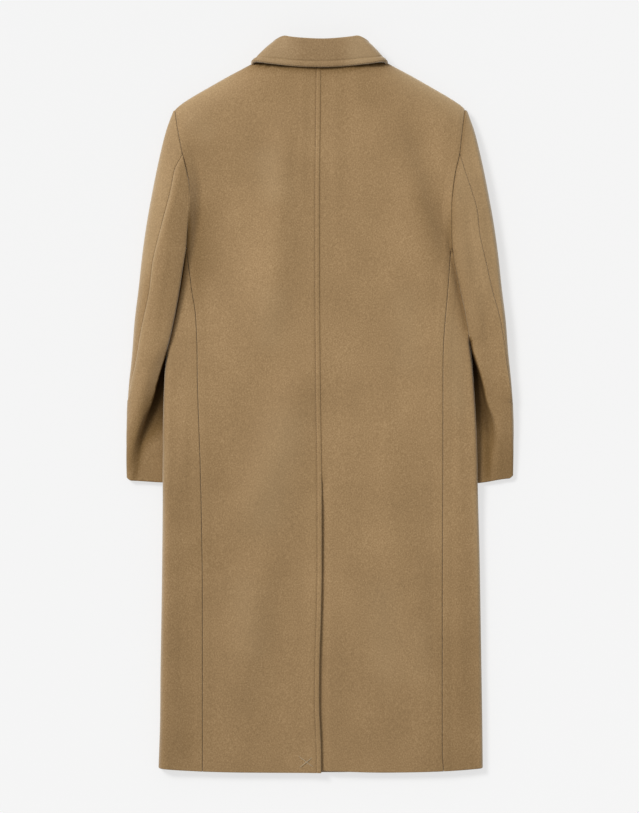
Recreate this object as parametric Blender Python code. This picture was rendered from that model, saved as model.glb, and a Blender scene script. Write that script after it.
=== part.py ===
"""Long single-breasted mac coat in melton cloth, laid flat on its buttoned front, back up.

X runs across the coat, Y from the hem up to the collar, Z up from the surface it lies on.
Sizes are in millimetres and turn to metres as each mesh is made. w is the distance from the
coat's centre line, and side is -1 on the wearer's left and 1 on the wearer's right.
"""
import bpy
import math
import numpy as np
from mathutils.kdtree import KDTree

MM = 0.001
LEFT, RIGHT = -1, 1
SIDE_NAME = {LEFT: "left", RIGHT: "right"}

CLOTH = 2.2             # melton, one thickness
COLLAR_CLOTH = 2.6      # collar, cloth on both faces
SEAM_GAP = 0.2          # half the clearance left along every seam
SEAM_REACH = 1.2        # edges closer than this are sewn to each other
UNDERARM_Y = 254.0
SHOULDER_Y = 479.0
NECK_W = 75.0           # half width of the neck
BACK_NECK_Y = 556.6
NECK_POINT_Y = 573.0
FRONT_NECK_DROP = 81.0
VENT_TOP_Y = -136.0
VENT_UNDERLAP = 45.0
FRONT_OVERLAP = 30.0    # each front runs this far past the centre line
FRONT_SEAM_W = 190.0    # side-front seam, on the underside
FOREARM_TURN = 0.84     # the forearm seam, on the underside of the sleeve
HIND_PITCH_Y = 405.0    # where the hindarm seam meets the armhole
FRONT_PITCH_Y = 355.0   # where the forearm seam meets the armhole
PITCH_CLEARANCE = 2.0
BUTTON_RADIUS = 11.5
BUTTON_THICKNESS = 3.0
BUTTON_HOLE_RADIUS = 0.9
BUTTON_HOLE_RING = 2.6
BUTTON_YS = (440.0, 300.0, 160.0, 20.0, -120.0)


def columns(names, rows):
    """Name the columns of a short table."""
    values = np.array(rows, dtype=float)
    return {name: values[:, i] for i, name in enumerate(names.split())}


# Outline of the body from hem to underarm; above y 77 it is the line where the sleeve lies
# against the body.
BODY_EDGE = columns("y left right", (
    (-598.8, 262.3, 264.6), (-529, 260.3, 264.4), (-431, 259.5, 262.9), (-334, 258.2, 261.3),
    (-236, 257.1, 259.7), (-125, 256.1, 255.8), (-32, 255.6, 252.7), (47, 253.2, 249.0),
    (77, 250.4, 246.4), (103, 243.4, 243.8), (147, 233.6, 236.6), (186, 227.0, 228.2),
    (228, 222.6, 219.4), (254, 217.6, 213.8)))
SIDE_SEAM = columns("y left right", (
    (-598.8, 191.1, 200.7), (-560, 191.1, 198.6), (-310, 191.1, 198.6), (-215, 192.2, 198.9),
    (-97, 194.7, 199.4), (33, 199.1, 199.4), (99, 200.2, 200.5), (150, 203.0, 204.4),
    (186, 208.8, 207.6), (254, 216.9, 213.1)))
CENTRE_SEAM = columns("y x", (
    (-598.8, 2.0), (-560, 1.5), (-480, -1.3), (-400, -0.3), (-358, 1.1), (-260, 2.9),
    (-130, 2.9), (0, 1.6), (480, 0.8), (556.6, 1.8)))
# The back armhole on each side, and how much deeper the front one is cut.
ARMHOLE = columns("y left right front", (
    (254, 217.6, 213.8, 0.0), (280, 215.6, 212.4, 9.0), (315, 213.2, 212.4, 14.0),
    (350, 212.2, 215.4, 16.0), (378, 216.6, 219.8, 15.0), (405, 223.0, 226.4, 13.0),
    (430, 228.5, 229.4, 9.0), (455, 233.3, 232.2, 4.0), (479, 236.8, 235.4, 0.6)))
SHOULDER = columns("w y", (
    (0, 615.0), (75, 573.0), (111.6, 552.4), (207.4, 499.7), (237, 479.0), (300, 435.0)))
SLEEVE_OUTER = columns("y w", (
    (-127, 313.8), (-71, 314.6), (-19, 314.2), (33, 311.4), (85, 306.4), (137, 302.3),
    (189, 295.8), (241, 290.1), (293, 282.8), (345, 273.8), (397, 263.3), (449, 249.8),
    (479, 239.6)))
# Where the sleeve folds back on itself: its inner edge beside the body, then the crease
# down the forearm.
SLEEVE_CREASE = columns("y left right", (
    (-127, 300.5, 285.0), (-75, 298.0, 282.5), (-42, 289.6, 279.5), (-16, 283.1, 274.7),
    (0, 276.3, 271.2), (24, 269.8, 265.7), (51, 261.1, 259.3), (77, 252.2, 252.0),
    (103, 244.6, 245.4), (147, 234.8, 238.0), (186, 228.2, 229.6), (228, 223.8, 220.8),
    (254, 217.6, 213.8)))
# The forearm's inner edge, which lies tucked under the body's side.
SLEEVE_TUCK = columns("y inner", (
    (-127, 228), (-40, 230), (0, 234), (24, 238), (45, 244), (62, 249.5), (77, 252.2)))
# Distance along the cloth's width from the sleeve's outer edge to the hindarm seam; below
# zero it has passed round the edge to the underside.
HINDARM = columns("y left right", (
    (-127, -16.0, -16.0), (-60, -12.0, -10.0), (-20, -6.0, -4.0), (12, 0.6, 1.6),
    (38, 3.6, 3.4), (64, 7.3, 5.0), (103, 10.6, 6.6), (150, 15.8, 11.4), (180, 18.2, 16.0),
    (228, 18.8, 22.0), (254, 21.2, 25.0), (280, 24.4, 26.5), (315, 28.2, 24.6),
    (350, 30.4, 27.8), (378, 30.2, 31.8), (405, 37.6, 34.0)))

# Heights, all in mm above the table: the level of the rolled edge and the rise of the cloth
# above it, for body and sleeve, and how far in from the edge the cloth takes to rise.
BODY_LEVEL = columns("y edge rise under_roll", (
    (-598.8, 8.0, 11.5, 17), (-400, 8.5, 12.5, 17), (-200, 9.0, 13.5, 15),
    (-150, 12.5, 11.5, 9), (-125, 15.5, 9.5, 7), (77, 15.5, 9.5, 7), (105, 12.5, 12.5, 12),
    (160, 10.5, 16.0, 16), (254, 10.5, 18.5, 17), (350, 12.0, 20.0, 18), (450, 14.0, 20.5, 20),
    (573, 16.0, 20.5, 22)))
SLEEVE_LEVEL = columns("y edge low ridge crease_width inner_roll outer_roll", (
    (-127, 5.2, 6.0, 0.0, 34, 8, 12), (-100, 5.2, 5.6, 3.5, 30, 8, 14),
    (-60, 5.4, 5.0, 8.5, 20, 8, 18), (-20, 5.6, 4.6, 12.5, 13, 8, 22),
    (24, 6.0, 4.4, 16.0, 10, 8, 26), (60, 7.0, 4.6, 18.0, 10, 9, 28),
    (77, 8.5, 5.4, 18.5, 10, 14, 30), (103, 10.0, 5.5, 18.5, 12, 24, 32),
    (160, 10.5, 5.5, 19.5, 12, 28, 32), (254, 10.5, 5.5, 19.5, 12, 30, 32)))
TUCK_LIFT = 11.7        # the body's side rides this high over the tucked cuff
COLLAR_LIFT = 3.4       # the fronts ride this high over the collar's points
ROLL = 30.0             # plan width of the rounded edge on the upper side
SHOULDER_ROLL = 40.0
BUTTON_LAYER = CLOTH + BUTTON_THICKNESS + 0.8
PLAIN_LAYER = CLOTH + 0.5

# The largest folds of the back: a line down the cloth, its width and its rise or fall.
FOLDS = columns("x0 y0 x1 y1 width height", (
    (-58, 470, -70, 230, 26, 3.0),
    (-176, 420, -196, 270, 15, -7.0),
    (160, 440, 200, 262, 22, -7.0),
    (118, 430, 142, 120, 26, 2.5),
    (-84, 20, -150, -440, 30, 3.0),
    (-170, -40, -182, -340, 24, -2.5),
    (70, -60, 108, -470, 30, 2.5),
    (172, 20, 178, -420, 26, -2.0)))

BODY_YS = (-598.8, -530, -450, -360, -270, -210, -180, -150, -128, -70, 0, 50, 77, 103,
           150, 200, 254)
ARMHOLE_YS = (254, 272, 296, 325, 355, 380, 405, 430, 455, 475, 479)
SLEEVE_YS = (-127, -100, -70, -40, -10, 12, 34, 54, 77, 103, 150, 200, 254)


def smooth_curve(stations, values, at):
    """Cubic through the stations that never swings past them."""
    step = np.diff(stations)
    slope = np.diff(values) / step
    tangent = np.concatenate((slope[:1], (slope[:-1] + slope[1:]) / 2, slope[-1:]))
    for i in range(1, len(tangent) - 1):
        least = min(abs(slope[i - 1]), abs(slope[i]))
        turning = slope[i - 1] * slope[i] <= 0
        tangent[i] = 0.0 if turning else float(np.clip(tangent[i], -3 * least, 3 * least))
    at = np.clip(at, stations[0], stations[-1])
    i = np.clip(np.searchsorted(stations, at, side="right") - 1, 0, len(step) - 1)
    t = (at - stations[i]) / step[i]
    rise = values[i + 1] - values[i]
    start = tangent[i] * step[i]
    end = tangent[i + 1] * step[i]
    return values[i] + t * (start + t * (3 * rise - 2 * start - end
                                         + t * (start + end - 2 * rise)))


def read(table, name, y):
    """A named column of a table by y, smooth between its rows."""
    return smooth_curve(table["y"], table[name], np.asarray(y, dtype=float))


def smoothstep(t):
    t = np.clip(t, 0.0, 1.0)
    return t * t * (3 - 2 * t)


def roll(distance, reach):
    """Quarter ellipse: 0 at the edge with an upright side, 1 from reach inwards."""
    t = np.clip(distance / reach, 0.0, 1.0)
    return np.sqrt(1 - (1 - t) ** 2)


def body_edge(side, y):
    return read(BODY_EDGE, SIDE_NAME[side], y)


def back_armhole(side, y):
    return read(ARMHOLE, SIDE_NAME[side], y)


def front_armhole(side, y):
    return back_armhole(side, y) - read(ARMHOLE, "front", y) - 1.8


def below_shoulder(w, y):
    """How far a point lies inside the shoulder line."""
    return (np.interp(w, SHOULDER["w"], SHOULDER["y"]) - y) * math.cos(math.radians(30))


def from_parting(side, w, y):
    """Distance to the line where sleeve and body part, which ends at the underarm."""
    across = w - body_edge(side, np.minimum(y, UNDERARM_Y))
    return np.hypot(across, np.maximum(y - UNDERARM_Y, 0.0))


def folds(x, y):
    """Rise and fall of the cloth over the large folds of the back."""
    total = np.zeros_like(np.asarray(x, dtype=float))
    for x0, y0, x1, y1, width, height in zip(*FOLDS.values()):
        length = math.hypot(x1 - x0, y1 - y0)
        along = ((x - x0) * (x1 - x0) + (y - y0) * (y1 - y0)) / length
        across = ((x - x0) * (y1 - y0) - (y - y0) * (x1 - x0)) / length
        fade = 0.35 * length
        ends = smoothstep(0.5 + along / fade) * smoothstep(0.5 + (length - along) / fade)
        total = total + height * ends * np.exp(-(across / width) ** 2)
    return total


def top_height(side, w, y):
    """Upper side of the body, and of the sleeve above the underarm."""
    above = y >= UNDERARM_Y
    edge = read(BODY_LEVEL, "edge", y)
    body = read(BODY_LEVEL, "rise", y)
    sleeve = read(SLEEVE_LEVEL, "low", UNDERARM_Y) + read(SLEEVE_LEVEL, "ridge", UNDERARM_Y)
    sleeve = sleeve - 9.0 * smoothstep((y - 330) / 150)
    on_sleeve = np.where(above, smoothstep((w - back_armhole(side, y) + 14) / 28), 0.0)
    rise = (body + folds(side * w, y)) * (1 - on_sleeve) + sleeve * on_sleeve
    rounded = roll(from_parting(side, w, y), ROLL)
    outer = roll(below_shoulder(w, y), SHOULDER_ROLL) * roll(read(SLEEVE_OUTER, "w", y) - w, 32)
    return edge + rise * rounded * np.where(above, outer, 1.0)


def lift(w, y):
    """What the underside rides over: the tucked cuff at the side, the collar at the neck."""
    cuff = smoothstep((w - 194) / 16) * smoothstep((120 - y) / 34) * smoothstep((y + 184) / 48)
    collar = smoothstep((y - 370) / 26) * smoothstep((158 - w) / 26)
    return TUCK_LIFT * cuff + COLLAR_LIFT * collar


def under_height(side, w, y):
    """Underside of the body, and of the sleeve above the underarm."""
    above = y >= UNDERARM_Y
    base = lift(w, y)
    edge = read(BODY_LEVEL, "edge", y)
    reach = read(BODY_LEVEL, "under_roll", y)
    rounded = roll(from_parting(side, w, y), reach)
    outer = roll(below_shoulder(w, y), reach) * roll(read(SLEEVE_OUTER, "w", y) - w, 16)
    return base + (edge - base) * (1 - rounded * np.where(above, outer, 1.0))


def front_layer(w, y):
    """How far the under front stands off where it laps under the outer one."""
    off = PLAIN_LAYER + (BUTTON_LAYER - PLAIN_LAYER) * smoothstep((y + 260) / 60)
    return off * smoothstep((FRONT_OVERLAP + 22 - w) / 18)


def sleeve_inner(side, y):
    """Inner edge of the sleeve, beside the body or tucked under it."""
    crease = read(SLEEVE_CREASE, SIDE_NAME[side], y)
    return np.where(y < 77, read(SLEEVE_TUCK, "inner", y), crease)


def sleeve_top(side, w, y):
    """Upper side of the sleeve below the underarm."""
    inner = sleeve_inner(side, y)
    crease = read(SLEEVE_CREASE, SIDE_NAME[side], y)
    width = read(SLEEVE_LEVEL, "crease_width", y)
    start = np.where(y < 77, crease, inner - width)
    rise = read(SLEEVE_LEVEL, "low", y)
    rise = rise + read(SLEEVE_LEVEL, "ridge", y) * smoothstep((w - start) / width)
    inside = roll(w - inner, read(SLEEVE_LEVEL, "inner_roll", y))
    outside = roll(read(SLEEVE_OUTER, "w", y) - w, read(SLEEVE_LEVEL, "outer_roll", y))
    return read(SLEEVE_LEVEL, "edge", y) + rise * inside * outside


def sleeve_under(side, w, y):
    """Underside of the sleeve below the underarm."""
    inside = roll(w - sleeve_inner(side, y), 9.0)
    outside = roll(read(SLEEVE_OUTER, "w", y) - w, 9 + 7 * smoothstep((y + 60) / 160))
    return read(SLEEVE_LEVEL, "edge", y) * (1 - inside * outside)


def hem_drop(w, y):
    """The hem rises a little to each side and the corners are rounded."""
    return 7.0 * (w / 264) ** 6 * smoothstep((-480 - y) / 118)


def material(name, hex_colour, roughness):
    new = bpy.data.materials.new(name)
    new.use_nodes = True
    shader = new.node_tree.nodes["Principled BSDF"]
    srgb = [int(hex_colour[i:i + 2], 16) / 255 for i in (0, 2, 4)]
    linear = [c / 12.92 if c <= 0.04045 else ((c + 0.055) / 1.055) ** 2.4 for c in srgb]
    shader.inputs["Base Color"].default_value = (*linear, 1.0)
    shader.inputs["Roughness"].default_value = roughness
    shader.inputs["Metallic"].default_value = 0.0
    return new


def sheet(name, grids, flip, colour="a0845f", thickness=CLOTH, outward=None):
    """The outer face of a piece of cloth, as grids of points in mm that share points.

    outward gives the outward direction at every point of the first grid, where it is not
    simply the average of the faces round the point.
    """
    known = {}
    faces = []
    for grid in grids:
        numbered = [[known.setdefault(tuple(round(float(c), 3) for c in p), len(known))
                     for p in row] for row in grid]
        for row, upper in zip(numbered, numbered[1:]):
            for i in range(len(row) - 1):
                ring = (row[i], row[i + 1], upper[i + 1], upper[i])
                corners = list(dict.fromkeys(ring))
                if len(corners) > 2:
                    faces.append(corners[::-1] if flip else corners)
    return {"name": name, "points": np.array(list(known)), "faces": faces,
            "colour": colour, "thickness": thickness, "outward": outward}


def border(faces):
    """Directed edges that only one face uses."""
    edges = {(a, b): None for face in faces for a, b in zip(face, face[1:] + face[:1])}
    return [edge for edge in edges if edge[::-1] not in edges]


def share_normals(sheets):
    """Outward directions of every sheet, made the same on both sides of each seam."""
    rim = []
    for piece in sheets:
        total = np.zeros_like(piece["points"])
        for face in piece["faces"]:
            corners = piece["points"][face]
            total[face] += np.cross(corners[2] - corners[0], corners[-1] - corners[1])
        if piece["outward"] is not None:
            total = np.array([direction for row in piece["outward"] for direction in row])
        piece["normals"] = total / np.linalg.norm(total, axis=1)[:, None]
        rim.extend((piece, i) for i in sorted({a for a, _ in border(piece["faces"])}))
    tree = KDTree(len(rim))
    for index, (piece, i) in enumerate(rim):
        tree.insert(piece["points"][i], index)
    tree.balance()
    own = [piece["normals"][i].copy() for piece, i in rim]
    for index, (piece, i) in enumerate(rim):
        near = [own[other] for _, other, _ in tree.find_range(piece["points"][i], SEAM_REACH)]
        total = sum(normal for normal in near if normal @ own[index] > -0.5)
        piece["normals"][i] = total / np.linalg.norm(total)


def wall(piece):
    """Grow a sheet inwards into a closed wall of cloth.

    The rim is cut into triangles the same way on both sides of a seam, by position.
    """
    outer = piece["points"]
    inner = outer - piece["normals"] * piece["thickness"]
    count = len(outer)
    faces = list(piece["faces"])
    faces += [[i + count for i in face[::-1]] for face in piece["faces"]]
    along = outer @ (1.0, 3.0, 0.0)
    for a, b in border(piece["faces"]):
        if along[a] < along[b]:
            faces += [[b, a, b + count], [a, a + count, b + count]]
        else:
            faces += [[b, a, a + count], [b, a + count, b + count]]
    mesh = bpy.data.meshes.new(piece["name"])
    mesh.from_pydata(np.concatenate((outer, inner)) * MM, [], faces)
    mesh.validate()
    mesh.shade_smooth()
    mesh.set_sharp_from_angle(angle=math.radians(60))
    mesh.materials.append(material(piece["name"] + "_cloth", piece["colour"], 0.9))
    built = bpy.data.objects.new(piece["name"], mesh)
    bpy.context.collection.objects.link(built)


def points(side, ws, ys, height):
    """One row of points from plan positions and a height function."""
    ws = np.asarray(ws, dtype=float)
    ys = np.broadcast_to(np.asarray(ys, dtype=float), ws.shape)
    zs = height(side, ws, ys)
    return list(zip(side * ws, ys + hem_drop(ws, ys), zs))


def yoke_rows(inner, neck_y, armhole, shares, neck_shares):
    """Plan rows between the underarm and the neck and shoulder, blended from four edges.

    inner gives the centre edge's w by y, armhole the w by y; shares place the columns.
    """
    start = inner(BACK_NECK_Y)
    top = [(start, neck_y(start))]
    top += [(share * NECK_W, neck_y(share * NECK_W)) for share in neck_shares]
    for share in SHOULDER_SHARES:
        w = NECK_W + share * (armhole(SHOULDER_Y) - NECK_W)
        top.append((w, float(np.interp(w, SHOULDER["w"], SHOULDER["y"]))))
    top = np.array(top)
    start = inner(UNDERARM_Y)
    low = np.array([(start + share * (armhole(UNDERARM_Y) - start), UNDERARM_Y)
                    for share in shares])
    u = np.array(shares)
    rows = []
    for y in ARMHOLE_YS:
        v = (y - UNDERARM_Y) / (SHOULDER_Y - UNDERARM_Y)
        inner_y = UNDERARM_Y + v * (top[0][1] - UNDERARM_Y)
        edge_in = np.array((inner(inner_y), inner_y))
        edge_out = np.array((armhole(y), y))
        across = (1 - u)[:, None] * edge_in + u[:, None] * edge_out
        down = (1 - v) * low + v * top
        corners = ((1 - v) * ((1 - u)[:, None] * low[0] + u[:, None] * low[-1])
                   + v * ((1 - u)[:, None] * top[0] + u[:, None] * top[-1]))
        rows.append(across + down - corners)
    return rows


def back_neck(w):
    return BACK_NECK_Y + (NECK_POINT_Y - BACK_NECK_Y) * (w / NECK_W) ** 2


def front_neck(w):
    return NECK_POINT_Y - FRONT_NECK_DROP * (1 - (min(abs(w), NECK_W) / NECK_W) ** 2.4)


PANEL_SHARES = (0.0, 0.12, 0.23, 0.33, 0.42, 0.5, 0.63, 0.76, 0.88, 0.95, 1.0)
NECK_SHARES = (0.3, 0.55, 0.75, 0.9, 1.0)
SHOULDER_SHARES = (0.22, 0.48, 0.74, 0.9, 1.0)


def back_panel(side):
    """Back, from the centre seam to the side-back seam, armhole, shoulder and neck."""
    def centre(y):
        return side * float(read(CENTRE_SEAM, "x", y)) + SEAM_GAP

    def armhole(y):
        return float(back_armhole(side, y)) - SEAM_GAP

    def height(_, w, y):
        """The right back's extension lies under the left back below the vent's top."""
        if side == LEFT:
            return top_height(side, w, y)
        near = smoothstep((centre(VENT_TOP_Y) + 15 - w) / 12)
        lap = (CLOTH + 0.7) * near * smoothstep((VENT_TOP_Y + 26 - y) / 24)
        return top_height(side, w, y) - lap

    rows = []
    for y in BODY_YS:
        start = centre(y)
        seam = float(read(SIDE_SEAM, SIDE_NAME[side], y)) - SEAM_GAP
        ws = start + (seam - start) * np.array(PANEL_SHARES)
        if side == RIGHT:
            reach = VENT_UNDERLAP * float(smoothstep((VENT_TOP_Y - y) / 22))
            ws = np.concatenate(([start - reach, start + 2, start + 15], ws[1:]))
        rows.append(points(side, ws, y, height))
    shares = PANEL_SHARES
    neck_shares = NECK_SHARES
    if side == RIGHT:
        width = armhole(UNDERARM_Y) - centre(UNDERARM_Y)
        shares = (0.0, 2 / width, 15 / width) + PANEL_SHARES[1:]
        neck_shares = (0.05, 0.18) + NECK_SHARES
    plan = yoke_rows(centre, lambda w: back_neck(w) - SEAM_GAP, armhole, shares, neck_shares)
    for row in plan[1:]:
        rows.append(points(side, row[:, 0], row[:, 1], height))
    return sheet("back_" + SIDE_NAME[side], [rows], flip=side == LEFT)


def front_seam(side, y):
    """Side-front seam, which runs out to the armhole under the arm."""
    out = float(smoothstep((y - 120) / (UNDERARM_Y - 120)))
    return FRONT_SEAM_W + (float(front_armhole(side, UNDERARM_Y)) - FRONT_SEAM_W) * out


def front_panel(side):
    """Front, from its overlapping edge to the side-front seam, armhole, shoulder and neck."""
    def edge(_):
        return -FRONT_OVERLAP

    def armhole(y):
        return float(front_armhole(side, y)) - 2 * SEAM_GAP

    def height(_, w, y):
        layer = front_layer(w, y) if side == RIGHT else 0.0
        return under_height(side, w, y) + layer

    shares = (0.0, 0.12, 0.2, 0.28, 0.35, 0.41, 0.48, 0.6, 0.74, 0.87, 0.95, 1.0)
    rows = []
    for y in BODY_YS:
        ws = -FRONT_OVERLAP + (front_seam(side, y) - SEAM_GAP + FRONT_OVERLAP) * np.array(shares)
        rows.append(points(side, ws, y, height))
    neck_shares = (0.04,) + NECK_SHARES
    plan = yoke_rows(edge, lambda w: front_neck(w) - SEAM_GAP, armhole, shares, neck_shares)
    for row in plan[1:]:
        rows.append(points(side, row[:, 0], row[:, 1], height))
    return sheet("front_" + SIDE_NAME[side], [rows], flip=side == RIGHT)


def side_panel(side):
    """Side panel: from the side-back seam round the folded edge to the side-front seam."""
    rows = []
    for y in BODY_YS:
        edge = float(body_edge(side, y))
        upper = edge - float(read(SIDE_SEAM, SIDE_NAME[side], y)) - SEAM_GAP
        lower = edge - front_seam(side, y) - SEAM_GAP
        shares = np.array((1.0, 0.6, 0.33, 0.15, 0.04))
        top = points(side, edge - upper * shares, y, top_height)
        tip = points(side, [edge], y, top_height)
        under = points(side, edge - lower * shares[::-1], y, under_height)
        rows.append(top + tip + under)
    return sheet("side_" + SIDE_NAME[side], [rows], flip=side == LEFT)


def sleeve_span(side, y, on_top):
    """Inner and outer w of the sleeve at y, on its upper side or underneath."""
    outer = float(read(SLEEVE_OUTER, "w", y))
    if y <= UNDERARM_Y:
        return float(sleeve_inner(side, y)) + 0.3, outer
    armhole = back_armhole(side, y) if on_top else front_armhole(side, y)
    return float(armhole), outer


def sleeve_row(side, y, turns):
    """Points round the sleeve at y: turns 0 is its inner edge, 0.5 its outer edge.

    Above the underarm the loop is open at the armhole, back edge at 0 and front edge at 1.
    """
    above = y > UNDERARM_Y
    row = []
    for turn in turns:
        on_top = turn <= 0.5
        inner, outer = sleeve_span(side, y, on_top)
        if above:
            height = top_height if on_top else under_height
        else:
            height = sleeve_top if on_top else sleeve_under
        share = (1 - math.cos(2 * math.pi * turn)) / 2
        w = inner + (outer - inner) * share
        z = float(height(side, w, y))
        row.append((side * w, y + cuff_slope(side, w, y), z))
    return row


def seamed_row(side, y, first, last, count):
    """A sleeve row whose ends stop half the seam's clearance short of first and last."""
    row = [np.array(p) for p in sleeve_row(side, y, spread(first, last, count))]
    for end, inward in ((0, 1), (-1, -2)):
        step = row[inward] - row[end]
        row[end] = row[end] + step * SEAM_GAP / np.linalg.norm(step)
    return row


def cuff_slope(side, w, y):
    """The cuff runs slightly up towards its outer corner, which is rounded."""
    rise = (3.0 if side == LEFT else 8.5) * smoothstep((w - 250) / 64)
    corner = 4.0 * smoothstep((w - 308) / 7)
    return float((rise + corner) * smoothstep((-60 - y) / 67))


def hindarm_turn(side, y):
    """Where the hindarm seam lies round the sleeve, meeting the armhole at the hind pitch."""
    if y >= HIND_PITCH_Y:
        return 0.0
    distance = float(read(HINDARM, SIDE_NAME[side], y))
    inner, outer = sleeve_span(side, y, distance > 0)
    share = min(max((outer - abs(distance) - inner) / (outer - inner), 0.0), 1.0)
    turn = math.acos(1 - 2 * share) / (2 * math.pi)
    return turn if distance > 0 else 1 - turn


def forearm_turn(y):
    """The forearm seam, which runs out to the armhole's front edge at the front pitch."""
    out = min(max((y - 290) / (FRONT_PITCH_Y - 290), 0.0), 1.0)
    return FOREARM_TURN + (1 - FOREARM_TURN) * out


def spread(first, last, count):
    return [first + (last - first) * i / (count - 1) for i in range(count)]


def top_sleeve(side):
    """Top sleeve: from the hindarm seam over the outer edge to the forearm seam."""
    rows = [seamed_row(side, y, hindarm_turn(side, y), forearm_turn(y), 10)
            for y in SLEEVE_YS + ARMHOLE_YS[1:-1]]
    return sheet("top_sleeve_" + SIDE_NAME[side], [rows], flip=side == LEFT)


def pitch_point(side, y, turn):
    """The tip where the under sleeve's top edge ends, just short of the top sleeve."""
    x, y, z = sleeve_row(side, y - PITCH_CLEARANCE, [turn])[0]
    return [(x + side * SEAM_GAP * 1.5, y, z)]


def under_sleeve(side):
    """Under sleeve: hindarm seam, over the inner edge, to the forearm seam.

    Its top edge follows the armhole under the arm and ends in a point at each pitch.
    """
    tube = []
    for y in SLEEVE_YS:
        upper = seamed_row(side, y, hindarm_turn(side, y), 0.0, 8)
        lower = seamed_row(side, y, 1.0, forearm_turn(y), 4)
        fold = sleeve_row(side, y, [0.0])
        tube.append(upper[:-1] + fold + lower[1:])
    back_strip = [tube[-1][:8]]
    front_strip = [tube[-1][7:]]
    for y in ARMHOLE_YS[1:]:
        if y < HIND_PITCH_Y:
            back_strip.append(seamed_row(side, y, hindarm_turn(side, y), 0.0, 8))
        if y < FRONT_PITCH_Y:
            front_strip.append(seamed_row(side, y, 1.0, forearm_turn(y), 4))
    back_strip.append(pitch_point(side, HIND_PITCH_Y, 0.0) * 8)
    front_strip.append(pitch_point(side, FRONT_PITCH_Y, 1.0) * 4)
    return sheet("under_sleeve_" + SIDE_NAME[side], [tube, back_strip, front_strip],
                 flip=side == RIGHT)


# Collar, from the centre back round to the centre front: a share of the neck's half width,
# then the top of the stand and the edge of the fall, as w, y and z of the outer face.
COLLAR = columns("front share roll_w roll_y roll_z edge_w edge_y edge_z", (
    (0, 0.00, 0, 591.0, 38.5, 0, 548.0, 40.2),
    (0, 0.30, 20, 592.0, 38.3, 28, 548.6, 40.2),
    (0, 0.55, 36, 594.0, 37.8, 52, 549.9, 40.0),
    (0, 0.75, 50, 595.3, 36.0, 74, 551.8, 38.0),
    (0, 0.90, 60, 594.5, 31.0, 93, 553.8, 34.0),
    (0, 0.96, 65, 593.0, 26.5, 104, 555.3, 27.5),
    (0, 1.00, 69, 589.5, 20.0, 113, 557.0, 17.0),
    (1, 0.985, 70, 586.0, 13.0, 116.5, 550.5, 7.0),
    (1, 0.97, 69.6, 583.2, 9.8, 116.4, 545.0, 3.6),
    (1, 0.95, 69, 580.0, 7.4, 115.5, 538.5, 1.4),
    (1, 0.90, 67, 573.5, 4.3, 111, 524.0, 0.2),
    (1, 0.75, 57, 553.0, 3.6, 99, 499.0, 0.2),
    (1, 0.55, 42, 532.0, 3.4, 80, 473.0, 0.2),
    (1, 0.30, 23, 517.5, 3.4, 59, 453.0, 0.2),
    (1, 0.04, 3, 513.0, 3.4, 38, 438.0, 0.2)))
COLLAR_STOPS = len(COLLAR["share"])


def neck_edge(side, stop):
    """Outer face of the neck seam at a stop, and how far the layers below push it out."""
    w = COLLAR["share"][stop] * NECK_W
    if not COLLAR["front"][stop]:
        y = back_neck(w) + SEAM_GAP
        z = float(top_height(side, w, y - 2 * SEAM_GAP))
        return np.array((side * w, y, z)), 0.0
    y = front_neck(w) + SEAM_GAP
    layer = float(front_layer(w, y)) if side == RIGHT else 0.0
    z = float(under_height(side, w, y - 2 * SEAM_GAP))
    return np.array((side * w, y, z + layer)), layer


def collar_row(side, stop):
    """Neck point, top of the stand, edge of the fall and the layer between them."""
    neck, layer = neck_edge(side, stop)
    roll_point = np.array([COLLAR["roll_" + axis][stop] for axis in "wyz"])
    edge = np.array([COLLAR["edge_" + axis][stop] for axis in "wyz"])
    roll_point = roll_point * (side, 1, 1) + (0, 0, layer)
    return neck, roll_point, edge * (side, 1, 1), layer


def collar_line():
    """Every stop of the collar, from the left centre front round to the right one.

    up runs from the neck to the top of the stand and out is the way its outside faces.
    """
    stops = [collar_row(LEFT, stop) for stop in range(COLLAR_STOPS - 1, 0, -1)]
    stops += [collar_row(RIGHT, stop) for stop in range(COLLAR_STOPS)]
    line = []
    for i, (neck, top, edge, layer) in enumerate(stops):
        around = stops[min(i + 1, len(stops) - 1)][0] - stops[max(i - 1, 0)][0]
        up = (top - neck) / np.linalg.norm(top - neck)
        out = np.cross(around, up)
        line.append((neck, top, edge, layer, around, up, out / np.linalg.norm(out)))
    return line


def collar_stand():
    """The band that stands round the neck."""
    shares = (0.0, 0.5, 1.0)
    rows = []
    outward = []
    for neck, top, _, _, _, _, out in collar_line():
        rows.append([neck + (top - neck) * share for share in shares])
        outward.append([out] * len(shares))
    return sheet("collar_stand", [rows], flip=True, outward=outward)


def collar_fall():
    """The collar proper: folded over the top of the stand and down over its outside."""
    turns = [math.radians(angle) for angle in (-90, -45, 0, 45, 90)]
    rows = []
    outward = []
    for _, top, edge, layer, around, up, out in collar_line():
        radius = COLLAR_CLOTH + 0.4 + layer / 2
        centre = top + up * 0.8 + out * (radius - COLLAR_CLOTH)
        ways = [math.cos(turn) * up + math.sin(turn) * out for turn in turns]
        row = [centre + radius * way for way in ways]
        down = edge - row[-1]
        face = np.cross(down, around)
        face = face / np.linalg.norm(face)
        row += [row[-1] + down * share for share in (0.3, 0.65, 1.0)]
        rows.append(row)
        outward.append(ways[:-1] + [out + face, face, face, face])
    return sheet("collar_fall", [rows], flip=False, colour="94795a", thickness=COLLAR_CLOTH,
                 outward=outward)


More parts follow.
